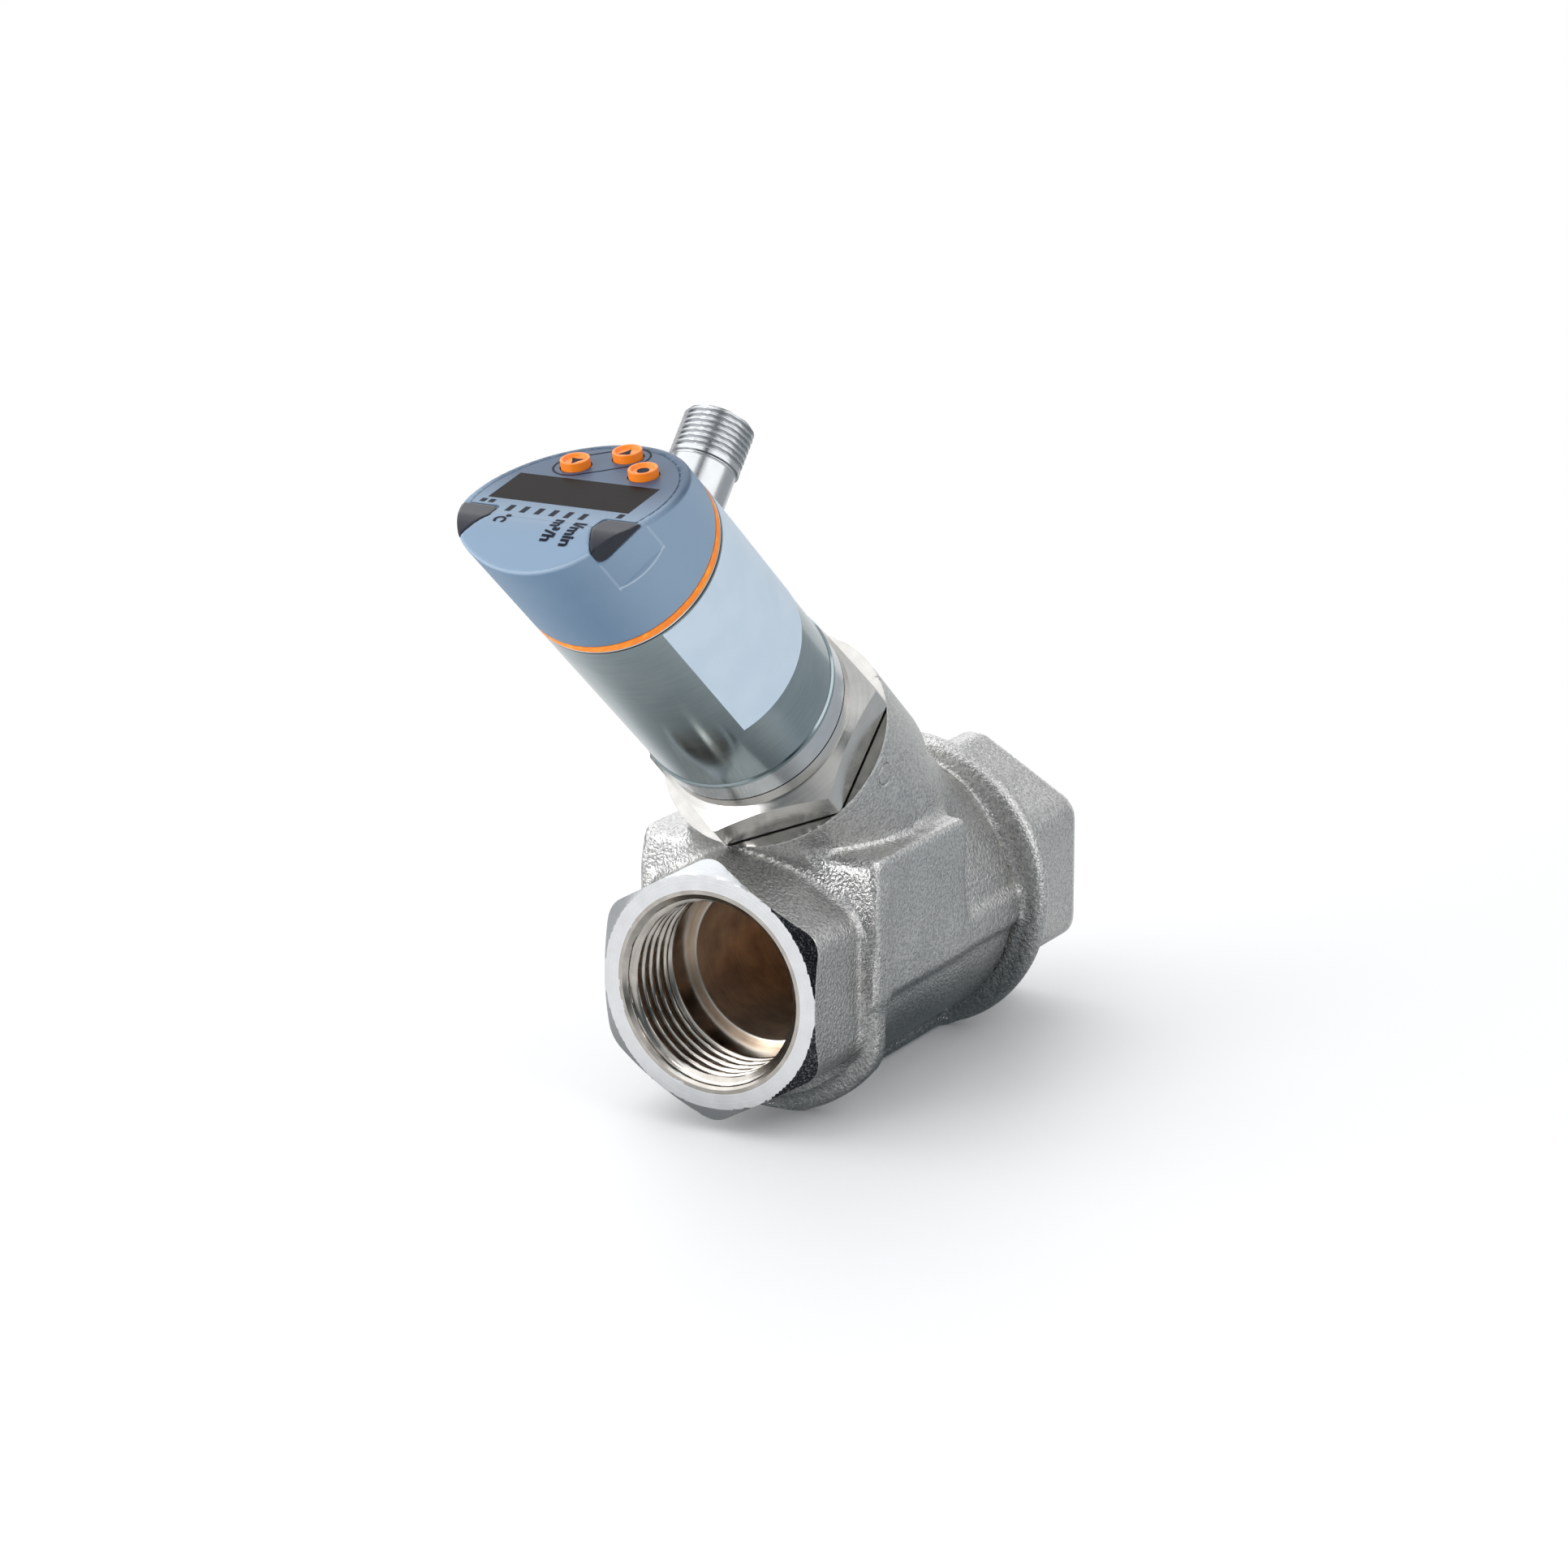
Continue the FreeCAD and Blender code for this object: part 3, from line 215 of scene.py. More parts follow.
def object_of(name, vertices, faces, materials, smooth_angle=30.0):
    """A mesh object from points in millimetres, its sharp edges kept crisp."""
    mesh = bpy.data.meshes.new(name)
    vertices = np.asarray(vertices, float) * MM
    faces = np.asarray(faces)
    mesh.vertices.add(len(vertices))
    mesh.vertices.foreach_set("co", vertices.ravel())
    sides = faces.shape[1]
    mesh.loops.add(faces.size)
    mesh.loops.foreach_set("vertex_index", faces.ravel().astype(np.int32))
    mesh.polygons.add(len(faces))
    mesh.polygons.foreach_set("loop_start", np.arange(len(faces), dtype=np.int32) * sides)
    mesh.update(calc_edges=True)
    mesh.validate()
    mesh.polygons.foreach_set("use_smooth", np.ones(len(mesh.polygons), bool))
    mesh.set_sharp_from_angle(angle=math.radians(smooth_angle))
    for material in materials:
        mesh.materials.append(material)
    return linked(name, mesh)


floor_height, floor_half = -24.9, 4000.0
floor_finish = Finish("pale_floor", Roughness=0.6, Base_Color=(0.9, 0.905, 0.91, 1))
floor_tree = floor_finish.start
floor_centred = floor_finish.turned_to((0, 45, 0), 0)
floor_far = floor_tree.make("ShaderNodeVectorMath", {"operation": "LENGTH"}, {0: floor_centred}).get("Value")
floor_x, floor_y = floor_finish.split(floor_finish.place)[:2]
front_card = floor_x.step(30, 75) * (-95 - floor_y).step(0, 70)
right_card = floor_x.step(25, 70) * (floor_y + 80).step(0, 60)
# Painted shade: what the metal mirrors of the floor is darker near the part.
mirrored = (floor_far.step(30, 95) * (1 - front_card * 0.8)).mix(colour(84, 91, 95), colour(238, 239, 240))
mirrored = (right_card * 0.9).mix(mirrored, colour(184, 190, 195))
floor_path = floor_tree.make("ShaderNodeLightPath", {}, {})
in_metal, in_picture = floor_path.get("Is Glossy Ray"), floor_path.get("Is Camera Ray")
floor_glow = floor_tree.make("ShaderNodeEmission", {}, {
    "Color": in_metal.mix((1, 1, 1, 1), mirrored), "Strength": 1.0})
glow_share = floor_tree.math("MAXIMUM", in_metal, in_picture * floor_far.step(140, 420))
floor_shown = floor_tree.make("ShaderNodeMixShader", {}, {
    0: glow_share, 1: floor_finish.shader, 2: floor_glow})
floor_tree.tree.links.new(floor_shown.node.outputs[0], floor_finish.output.node.inputs["Surface"])
floor = object_of("floor", [(-floor_half, -floor_half, floor_height), (floor_half, -floor_half, floor_height),
                            (floor_half, floor_half, floor_height), (-floor_half, floor_half, floor_height)],
                  [(0, 1, 2, 3)], [floor_finish.material])

# Studio: a white backdrop, and for the metal a bright ceiling over a darker room, with one dark flag
# where the sloped face would mirror the light. Five soft lamps stand round the part.
world = bpy.data.worlds.new("studio")
world.use_nodes = True
world.node_tree.nodes.clear()
studio = Wire(world.node_tree)
direction = studio.make("ShaderNodeTexCoord", {}, {}).get("Generated")
directions = studio.make("ShaderNodeSeparateXYZ", {}, {"Vector": direction})
side, front, high = (directions.get(index) for index in range(3))
room = (high + front * 0.25 + side * 0.10).step(-0.10, 0.50)
flag = (side * 0.488 + front * -0.389 + high * 0.78).step(0.965, 0.985)
room_colour = (room * (1 - flag)).mix(colour(66, 78, 84), colour(228, 230, 232))
studio_path = studio.make("ShaderNodeLightPath", {}, {})
lit = studio_path.get("Is Glossy Ray").mix((0.52, 0.53, 0.545, 1), room_colour)
seen = studio_path.get("Is Camera Ray").mix(lit, (1, 1, 1, 1))
backdrop = studio.make("ShaderNodeBackground", {}, {"Color": seen, "Strength": 1.0})
studio.make("ShaderNodeOutputWorld", {}, {"Surface": backdrop})
bpy.context.scene.world = world


def lamp(name, place, target, size, power):
    """A rectangular lamp that faces its target."""
    data = bpy.data.lights.new(name, "AREA")
    data.shape = "RECTANGLE"
    data.size, data.size_y = size[0] * MM, size[1] * MM
    data.energy = power
    turn = (Vector(place) - Vector(target)).to_track_quat("Z", "Y").to_matrix().to_4x4()
    linked(name, data).matrix_world = Matrix.Translation(Vector(place) * MM) @ turn


middle = (0, -45, 40)
lamp("key", (-520, -420, 760), middle, (1400, 1400), 6.4)
lamp("front_fill", (-560, -640, 120), middle, (900, 700), 2.4)
lamp("right_strip", (800, -40, 420), middle, (900, 1400), 3.9)
lamp("port_light", (-330, -900, 160), (0, -60, 0), (320, 320), 2.4)
lamp("rear_left", (-520, 560, 520), middle, (900, 900), 2.6)


# Valve body: one brass casting, shot-blasted and nickel plated, with its ports, hexagon corners and
# branch seat turned afterwards. Cast forms run into each other in soft fillets; turned ones are crisp.
def softly_joined(first, second, blend):
    """The union of two distance fields, with a fillet about as large as the blend."""
    share = np.clip(0.5 + 0.5 * (second - first) / blend, 0, 1)
    return second * (1 - share) + first * share - blend * share * (1 - share)


def softly_cut(first, second, blend):
    """The overlap of two distance fields, with a rounded edge."""
    return -softly_joined(-first, -second, blend)


def contoured(name, shape, low, high, cell, materials, zone=None, smooth_angle=30.0, place=None):
    """A closed mesh of shape(points) = 0 by dual contouring, which keeps the sharp edges."""
    low, high = np.array(low, float), np.array(high, float)
    counts = np.ceil((high - low) / cell).astype(int) + 1
    lines = [low[axis] + cell * np.arange(counts[axis]) for axis in range(3)]
    grid = np.stack(np.meshgrid(*lines, indexing="ij"), -1)
    value = shape(grid.reshape(-1, 3)).reshape(counts)
    inside = value < 0
    keys, points, quads, flips = [], [], [], []
    for axis in range(3):
        step = np.eye(3, dtype=int)[axis]
        near = tuple(slice(0, counts[i] - step[i]) for i in range(3))
        far = tuple(slice(step[i], counts[i]) for i in range(3))
        first = np.argwhere(inside[near] != inside[far])
        others = [(axis + 1) % 3, (axis + 2) % 3]
        keep = np.all((first[:, others] > 0) & (first[:, others] < counts[others] - 1), axis=1)
        first = first[keep]
        start = low + first * cell
        a, b = np.zeros(len(first)), np.full(len(first), float(cell))
        starts_inside = inside[tuple(first.T)]
        for _ in range(9):
            half_way = (a + b) / 2
            still = (shape(start + half_way[:, None] * step) < 0) == starts_inside
            a, b = np.where(still, half_way, a), np.where(still, b, half_way)
        points.append(start + ((a + b) / 2)[:, None] * step)
        corners = []
        for down_one, down_two in ((0, 0), (1, 0), (1, 1), (0, 1)):
            cell_place = first.copy()
            cell_place[:, others[0]] -= down_one
            cell_place[:, others[1]] -= down_two
            corners.append(np.ravel_multi_index(cell_place.T, counts))
        quads.append(np.stack(corners, 1))
        flips.append(~starts_inside)
    points, quads, flips = np.concatenate(points), np.concatenate(quads), np.concatenate(flips)
    reach = 0.02
    slope = np.stack([shape(points + reach * np.eye(3)[axis]) - shape(points - reach * np.eye(3)[axis])
                      for axis in range(3)], 1)
    slope /= np.linalg.norm(slope, axis=1)[:, None] + 1e-9
    cells, index = np.unique(quads, return_inverse=True)
    index = index.reshape(quads.shape)
    number = len(cells)
    owner = index.ravel()
    repeat = np.repeat(np.arange(len(points)), 4)
    share = np.bincount(owner, minlength=number).astype(float)
    mean = np.stack([np.bincount(owner, points[repeat, axis], number) for axis in range(3)], 1)
    mean /= share[:, None]
    normal, offset = slope[repeat], points[repeat] - mean[owner]
    distance = np.einsum("ij,ij->i", normal, offset)
    matrix = np.zeros((number, 3, 3))
    target = np.zeros((number, 3))
    for row in range(3):
        target[:, row] = np.bincount(owner, normal[:, row] * distance, number)
        for column in range(3):
            matrix[:, row, column] = np.bincount(owner, normal[:, row] * normal[:, column], number)
    matrix += 0.03 * share[:, None, None] * np.eye(3)
    moved = np.linalg.solve(matrix, target[:, :, None])[:, :, 0]
    corner = low + np.stack(np.unravel_index(cells, counts), 1) * cell
    vertices = np.clip(mean + moved, corner, corner + cell)
    faces = np.where(flips[:, None], index[:, ::-1], index)
    if place is not None:
        vertices = place(*vertices.T)
    item = object_of(name, vertices, faces, materials, smooth_angle)
    if zone is not None:
        centres, facing = np.empty((2, len(item.data.polygons) * 3), np.float32)
        item.data.polygons.foreach_get("center", centres)
        item.data.polygons.foreach_get("normal", facing)
        zones = zone(centres.reshape(-1, 3) / MM, facing.reshape(-1, 3))
        item.data.polygons.foreach_set("material_index", zones.astype(np.int32))
        shell = bmesh.new()
        shell.from_mesh(item.data)
        for edge in shell.edges:
            edge.smooth = edge.smooth and len({face.material_index for face in edge.link_faces}) == 1
        shell.to_mesh(item.data)
        shell.free()
    return item


branch_angle = math.radians(40.8)
branch_foot = np.array((0.0, -27.5, 0.0))
branch_axis = np.array((0.0, -math.cos(branch_angle), math.sin(branch_angle)))
branch_back = np.array((0.0, math.sin(branch_angle), math.cos(branch_angle)))
pipe_length, hex_half, face_ring, thread_depth = 94.6, 20.5, 20.4, 19.0
bore_radius, port_radius, mouth_radius, lining_radius = 13.9, 15.146, 17.0, 17.7
barrel_radius, relief_radius, collar_radius, collar_rise = 22.4, 20.6, 27.3, 1.3
collar_start, collar_end, pad_start, pad_end = 22.0, 26.2, 46.0, 78.3
pad_half, pad_top, bar_top, bar_bottom, rib_half, rib_bottom = 23.0, 21.7, 3.0, -2.3, 8.0, -24.6
neck_radius, boss_radius, boss_length, boss_top = 18.9, 20.4, 19.8, 59.4
seat_radius, seat_low, seat_high, chamber_radius = 10.5, 4.0, 8.0, 14.5
socket_radius, socket_depth, chamfer_radius, chamfer_depth = 15.4, 12.4, 16.83, 2.3
step_place = pipe_length - thread_depth


def on_branch(points):
    """Across, back and along the branch."""
    shifted = points - branch_foot
    return shifted[:, 0], shifted @ branch_back, shifted @ branch_axis


def slab(value, low, high):
    return np.maximum(low - value, value - high)


def pipe_hexagon(x, z):
    diagonal = math.sqrt(0.75)
    field = np.abs(x) - hex_half
    for turn in (diagonal, -diagonal):
        field = softly_cut(field, np.abs(0.5 * x + turn * z) - hex_half, 2.6)
    return field


def cast_form(points):
    """Everything that comes out of the mould."""
    x, t, z = points[:, 0], -points[:, 1], points[:, 2]
    u, v, s = on_branch(points)
    ring = np.hypot(x, z)
    round_branch = np.hypot(u, v)
    hexagon = pipe_hexagon(x, z)
    inlet_hex = softly_cut(hexagon, slab(t, -4.0, collar_start + 1), 1.2)
    outlet_hex = softly_cut(hexagon, slab(t, pad_end - 1, pipe_length + 4.0), 0.4)
    barrel = np.maximum(ring - barrel_radius, slab(t, collar_start, pad_end + 0.7))
    relief = np.maximum(slab(t, collar_end - 0.2, collar_end + 1.8), relief_radius - ring)
    barrel = softly_cut(barrel, -relief, 0.8)
    rib = softly_cut(softly_cut(np.abs(x) - rib_half, slab(z, rib_bottom, 0), 1.4), slab(t, 25, 76.2), 1.0)
    pad = softly_cut(slab(t, pad_start, pad_end), slab(z, bar_bottom, pad_top), 2.6)
    bar = np.maximum(slab(t, 24.1, pad_end), slab(z, bar_bottom, bar_top))
    block = softly_cut(softly_joined(pad, bar, 1.6), np.abs(x) - pad_half, 1.5)
    disc = np.hypot(x, z - collar_rise) - collar_radius
    inlet_collar = softly_cut(disc, slab(t, collar_start, collar_end), 2.4)
    outlet_collar = softly_cut(softly_cut(disc, slab(t, pad_end - 4.2, pad_end), 1.6),
                               np.maximum(np.abs(x) - pad_half, z - 20.0), 1.6)
    neck = np.maximum(round_branch - neck_radius, slab(s, seat_low, boss_top - 19))
    boss = softly_cut(round_branch - boss_radius, slab(s, boss_top - boss_length, boss_top + 1), 0.8)
    field = softly_joined(barrel, rib, 1.6)
    field = softly_joined(field, softly_joined(neck, boss, 1.0), 5.0)
    field = softly_joined(field, block, 2.2)
    field = softly_joined(field, inlet_collar, 1.6)
    field = softly_joined(field, outlet_collar, 2.0)
    field = softly_joined(field, inlet_hex, 1.2)
    return softly_joined(field, outlet_hex, 1.6)


def turned_form(points):
    """The faces, the hexagon's corner cone and the branch's seat, as a bound on the casting."""
    t = -points[:, 1]
    ring = np.hypot(points[:, 0], points[:, 2])
    u, v, s = on_branch(points)
    cone = (ring - face_ring) * 0.5 + (t - pipe_length) * math.sqrt(0.75)
    seat = np.minimum(s - boss_top, boss_radius + 0.2 - np.hypot(u, v))
    return np.maximum(np.maximum(slab(t, 0, pipe_length), cone), seat)


def hollow_form(points):
    """The passages: the ports, the bores up to the seat wall, the seat and the piston's chamber."""
    t = -points[:, 1]
    ring = np.hypot(points[:, 0], points[:, 2])
    u, v, s = on_branch(points)
    round_branch = np.hypot(u, v)
    ports = np.maximum(ring - (lining_radius - 0.25), np.minimum(t - thread_depth, step_place - t))
    inlet = np.maximum(np.maximum(ring - bore_radius, t - pipe_length / 2), s - seat_low)
    outlet = np.maximum(np.maximum(ring - bore_radius, pipe_length / 8 - t), seat_high - s)
    seat = np.maximum(round_branch - seat_radius, slab(s, seat_low - 1, seat_high))
    chamber = np.maximum(round_branch - chamber_radius, slab(s, seat_high, boss_top - socket_depth))
    beyond = s - boss_top - 5
    socket = np.maximum(np.maximum(round_branch - socket_radius, boss_top - socket_depth - s), beyond)
    chamfer = np.maximum(round_branch - chamfer_radius, beyond)
    chamfer = np.maximum(chamfer, boss_top - chamfer_depth - s + (round_branch - socket_radius))
    field = np.minimum(np.minimum(ports, inlet), np.minimum(outlet, seat))
    return np.minimum(field, np.minimum(chamber, np.minimum(socket, chamfer)))


def body_form(points):
    return np.maximum(np.maximum(cast_form(points), turned_form(points)), -hollow_form(points))


def body_zone(points, facing):
    """0 is cast skin, 1 the turned faces, 2 the branch's seat, 3 the passages and 4 the cone."""
    fields = np.stack([cast_form(points), turned_form(points), -hollow_form(points)])
    zone = np.array((0, 1, 3))[np.argmax(fields, axis=0)]
    u, v, s = on_branch(points)
    on_seat = (np.abs(s - boss_top) < 0.3) & (np.hypot(u, v) < boss_radius + 0.2)
    off_face = np.abs(facing[:, 1]) < 0.97
    return np.where(zone != 1, zone, np.where(on_seat, 2, np.where(off_face, 4, 1)))


def turned_metal(name, offset, turn, tone, rough, lines, tint_dark=0.85):
    """Turned metal: fine tool lines round an axis, which catch the light unevenly."""
    finish = Finish(name, Metallic=1.0)
    x, y, z = finish.split(finish.turned_to(offset, turn))
    cut = finish.line_noise((x * x + y * y).root() + z, lines, 3.0, 0.6)
    smear = finish.noise(finish.place, 0.35, 3.0)
    return finish.feed(Base_Color=mottled(smear, cut, shaded(tone, tint_dark), tone),
                       Roughness=(cut * 0.12 + smear * 0.08) + (rough - 0.1),
                       Normal=finish.bump(cut, 0.35, 0.02))


cast = Finish("cast_nickel", Metallic=1.0)
grain = cast.noise(cast.place, 1.7, 2.0, 0.5)
fine_grain = cast.noise(cast.place, 3.6, 1.0, 0.5)
patches = cast.noise(cast.place, 0.12, 3.0)
speckle = (grain * 0.55 + fine_grain * 0.45).step(0.36, 0.62)
ridge = cast.start.make("ShaderNodeNewGeometry", {}, {}).get("Pointiness")
cast_tone = (speckle * 0.65 + patches * 0.35).mix(colour(150, 151, 151), colour(216, 215, 212))
# Painted highlights: convex edges, found by pointiness, are painted near white, and concave fillets paler.
cast_tone = (ridge.step(0.525, 0.57) * 0.9).mix(cast_tone, colour(244, 243, 240))
cast_tone = ((0.48 - ridge).step(0.0, 0.05) * 0.5).mix(cast_tone, colour(228, 224, 217))
pin_place = (20.3, -70.7, 34.7)
pin_mark = cast.start.make("ShaderNodeVectorMath", {"operation": "DISTANCE"}, {0: cast.place, 1: pin_place})
pin_mark = pin_mark.get("Value").step(1.5, 1.75) * (1 - pin_mark.get("Value").step(1.95, 2.2))
cast_bump = cast.bump(fine_grain, 0.8, 0.12, cast.bump(grain, 0.9, 0.26, cast.bump(1 - pin_mark, 1.0, 0.4)))
cast_nickel = cast.feed(Base_Color=cast_tone, Roughness=(grain * 0.16 + patches * 0.10) + 0.16,
                        Normal=cast_bump)
along_pipe = ((0, 0, 0), math.radians(90))
along_branch = ((0, -branch_foot[1], 0), branch_angle - math.pi / 2)
along_plug = ((0, -branch_foot[1], 0), branch_angle)
turned_nickel = turned_metal("turned_nickel", *along_pipe, colour(233, 234, 236), 0.24, 5.0, 0.93)
cone = Finish("cone_nickel", Metallic=1.0)
# Painted shade: the corner cone is painted dark on its right side, towards positive X.
cone_shade_side = cone.split(cone.place)[0].step(4, 13)
cone_grain = cone.noise(cone.place, 3.2, 3.0, 0.65)
cone_shade_share = cone_shade_side * (1 - cone_grain.step(0.5, 0.64) * 0.4)
cone_nickel = cone.feed(Base_Color=cone_shade_share.mix(colour(178, 180, 182), colour(44, 46, 50)),
                        Roughness=cone_grain * 0.2 + 0.2, Normal=cone.bump(cone_grain, 0.5, 0.08))
branch_nickel = turned_metal("branch_nickel", *along_branch, colour(196, 194, 190), 0.18, 4.0)

bore_brass = Finish("bore_brass", Metallic=0.8)
bore_x, bore_y, bore_z = bore_brass.split(bore_brass.place)
bore_ring = (bore_x * bore_x + bore_z * bore_z).root()
bore_lines = bore_brass.line_noise(bore_ring + bore_y, 3.0, 4.0, 0.7)
bore_cloud = bore_brass.noise(bore_brass.place, 0.22, 3.0)
bore_tone = mottled(bore_cloud, bore_lines, colour(200, 178, 160), colour(250, 230, 208))
# Painted highlight: a thin bright line round the edge of the step at the end of the thread.
step_edge_highlight = (1 - (bore_ring - 14.25).step(0.0, 0.1)) * (1 - (bore_y + step_place).absolute().step(0.2, 0.3))
bore_finish = bore_brass.feed(Base_Color=step_edge_highlight.mix(bore_tone, colour(250, 246, 240)),
                              Roughness=bore_lines * 0.2 + 0.24,
                              Normal=bore_brass.bump(bore_lines, 0.4, 0.03))

casting = contoured("casting", body_form, (-29, -96.5, -28), (29, 2, 57.5), 0.68,
                    [cast_nickel, turned_nickel, branch_nickel, bore_finish, cone_nickel], body_zone)
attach(casting, "valve")
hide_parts("valve_body")


# Port linings: the turned mouths of both ports, with a parallel pipe thread of eleven ridges to the inch
# and a smooth run down to the step. They are cut in the casting itself, from each face inwards.
def new_tree(name, inputs):
    """A Geometry Nodes tree with these inputs, as a wire to start from and a way to get each input."""
    tree = bpy.data.node_groups.new(name, "GeometryNodeTree")
    tree.interface.new_socket(name="Geometry", in_out="OUTPUT", socket_type="NodeSocketGeometry")
    for kind, labels in inputs.items():
        for label in labels:
            tree.interface.new_socket(name=label, in_out="INPUT", socket_type="NodeSocket" + kind)
    start = Wire(tree)
    return start, start.make("NodeGroupInput", {}, {}).get


def ended(start, geometry, material):
    """The tree, ended with real geometry in its material."""
    made_real = start.make("GeometryNodeRealizeInstances", {}, {"Geometry": geometry})
    painted = start.make("GeometryNodeSetMaterial", {}, {"Geometry": made_real, "Material": material})
    start.make("NodeGroupOutput", {}, {"Geometry": painted})
    return start.tree


def thread_tree():
    """A tube whose radius follows a screw thread's helix, with a chamfered mouth and a faded inner end."""
    start, given = new_tree("screw_thread", {
        "Float": ("Flat", "Cut", "Pitch", "Length", "Thread", "Fade", "Mouth", "Side"),
        "Int": ("Rows",), "Material": ("Metal",)})
    tube = start.make("GeometryNodeMeshCylinder", {"fill_type": "NONE"}, {
        "Vertices": 144, "Side Segments": given("Rows"), "Radius": 1.0, "Depth": 1.0}).get("Mesh")
    position = start.make("GeometryNodeInputPosition", {}, {})
    where = start.make("ShaderNodeSeparateXYZ", {}, {"Vector": position})
    x, y, z = (where.get(index) for index in range(3))
    along = (z + 0.5) * given("Length")
    turn = start.math("ARCTAN2", y, x) / (2 * math.pi)
    phase = (along / given("Pitch") - turn + 1.0).fraction()
    ridge = ((phase - 0.5).absolute() * 2.0).step(0.18, 0.82)
    fade = ((given("Thread") - along) / given("Fade")).step(0.0, 1.0)
    radius = given("Flat") + (given("Cut") - given("Flat")) * ridge * fade
    side = given("Side")
    radius = side * start.math("MAXIMUM", side * radius, side * given("Mouth") - along)
    place = start.make("ShaderNodeCombineXYZ", {}, {0: x * radius, 1: y * radius, 2: along})
    shaped = start.make("GeometryNodeSetPosition", {}, {"Geometry": tube, "Position": place})
    return ended(start, shaped, given("Metal"))


def plain_mesh(carrier):
    """The mesh that an object's modifiers or outlines make, in place of the object."""
    bpy.context.view_layer.update()
    evaluated = carrier.evaluated_get(bpy.context.evaluated_depsgraph_get())
    mesh = bpy.data.meshes.new_from_object(evaluated)
    bpy.data.objects.remove(carrier)
    return mesh


def grown(tree, name, values):
    """The plain mesh that a Geometry Nodes tree makes with these inputs."""
    carrier = linked(name, bpy.data.meshes.new(name))
    modifier = carrier.modifiers.new("nodes", "NODES")
    modifier.node_group = tree
    for item in tree.interface.items_tree:
        if item.in_out == "INPUT" and item.name in values:
            modifier[item.identifier] = values[item.name]
    mesh = plain_mesh(carrier)
    mesh.name = name
    return mesh


def thread_piece(name, place, wall, values):
    """A thread of the tree, closed by a plain wall on its hidden side, in its place."""
    mesh = grown(screw_thread, name, values)
    shell = bmesh.new()
    shell.from_mesh(mesh)
    rims = [edge for edge in shell.edges if edge.is_boundary]
    grown_rims = bmesh.ops.extrude_edge_only(shell, edges=rims)["geom"]
    for vertex in (part for part in grown_rims if isinstance(part, bmesh.types.BMVert)):
        vertex.co.xy = vertex.co.xy.normalized() * wall
    bmesh.ops.bridge_loops(shell, edges=[edge for edge in shell.edges if edge.is_boundary])
    points = np.array([vertex.co for vertex in shell.verts], float)
    for vertex, point in zip(shell.verts, place(points) * MM):
        vertex.co = point
    bmesh.ops.recalc_face_normals(shell, faces=shell.faces)
    for face in shell.faces:
        face.smooth = True
    shell.to_mesh(mesh)
    shell.free()
    mesh.set_sharp_from_angle(angle=math.radians(40))
    return linked(name, mesh)


def from_inlet(points):
    """Local Z runs in from the inlet's face."""
    return np.stack([points[:, 0], -points[:, 2], points[:, 1]], 1)


def from_outlet(points):
    """Local Z runs in from the outlet's face."""
    return np.stack([points[:, 0], points[:, 2] - pipe_length, -points[:, 1]], 1)


screw_thread = thread_tree()
thread_metal = turned_metal("thread_metal", *along_pipe, colour(206, 200, 192), 0.17, 5.0, 0.7)
for port, place in (("outlet_lining", from_outlet), ("inlet_lining", from_inlet)):
    lining = thread_piece(port, place, lining_radius, {
        "Flat": port_radius, "Cut": 16.45, "Pitch": 2.309, "Length": thread_depth, "Thread": 13.6,
        "Fade": 1.6, "Mouth": mouth_radius, "Side": 1.0, "Rows": 150, "Metal": thread_metal})
    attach(lining, "valve")


# Screw base: one turned bar with a spanner hexagon, bright nickel plated, screwed into the branch on
# its seal. It hides the piston's guide; the can's foot swivels on its neck.
def paint(node, material):
    """Gives a CAD piece its material in every slot."""
    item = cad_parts[node]
    item.data.materials.clear()
    item.data.materials.append(material)
    return item


paint("screw_base", turned_metal("base_nickel", *along_branch, colour(208, 206, 202), 0.24, 4.0, 0.9))


# Seals and clip: black rubber rings under the hexagon and in the neck's groove, and a spring steel clip
# that snaps in over the can's foot.
def rubber(name, tone):
    """Rubber: matt, with paler dust in patches."""
    finish = Finish(name, Specular_IOR_Level=0.35)
    dust = finish.noise(finish.place, 0.8, 4.0)
    fine = finish.noise(finish.place, 6.0, 2.0)
    bright = tuple(min(1.0, part * 1.7 + 0.01) for part in tone[:3]) + (1.0,)
    return finish.feed(Base_Color=dust.step(0.45, 0.8).mix(tone, bright), Roughness=dust * 0.25 + 0.45,
                       Normal=finish.bump(fine, 0.3, 0.03))


seal_rubber = rubber("seal_rubber", colour(26, 26, 27))
for node in ("base_seal", "swivel_seal", "piston_seal"):
    paint(node, seal_rubber)
spring_steel = turned_metal("spring_steel", *along_branch, colour(186, 188, 190), 0.3, 8.0, 0.8)
paint("swivel_clip", spring_steel)

# Piston: turned brass with a drilled stem that slides in the base's guide. A dark sintered magnet is
# pressed into the stem's end, where the sensor in the can reads how far it has risen.
paint("piston", turned_metal("piston_brass", *along_branch, colour(196, 158, 104), 0.22, 4.0, 0.75))
magnet = Finish("magnet", Metallic=0.5)
magnet_grain = magnet.noise(magnet.place, 2.5, 4.0)
paint("piston_magnet", magnet.feed(Base_Color=magnet_grain.mix(colour(52, 52, 55), colour(86, 86, 90)),
                                   Roughness=magnet_grain * 0.3 + 0.4))


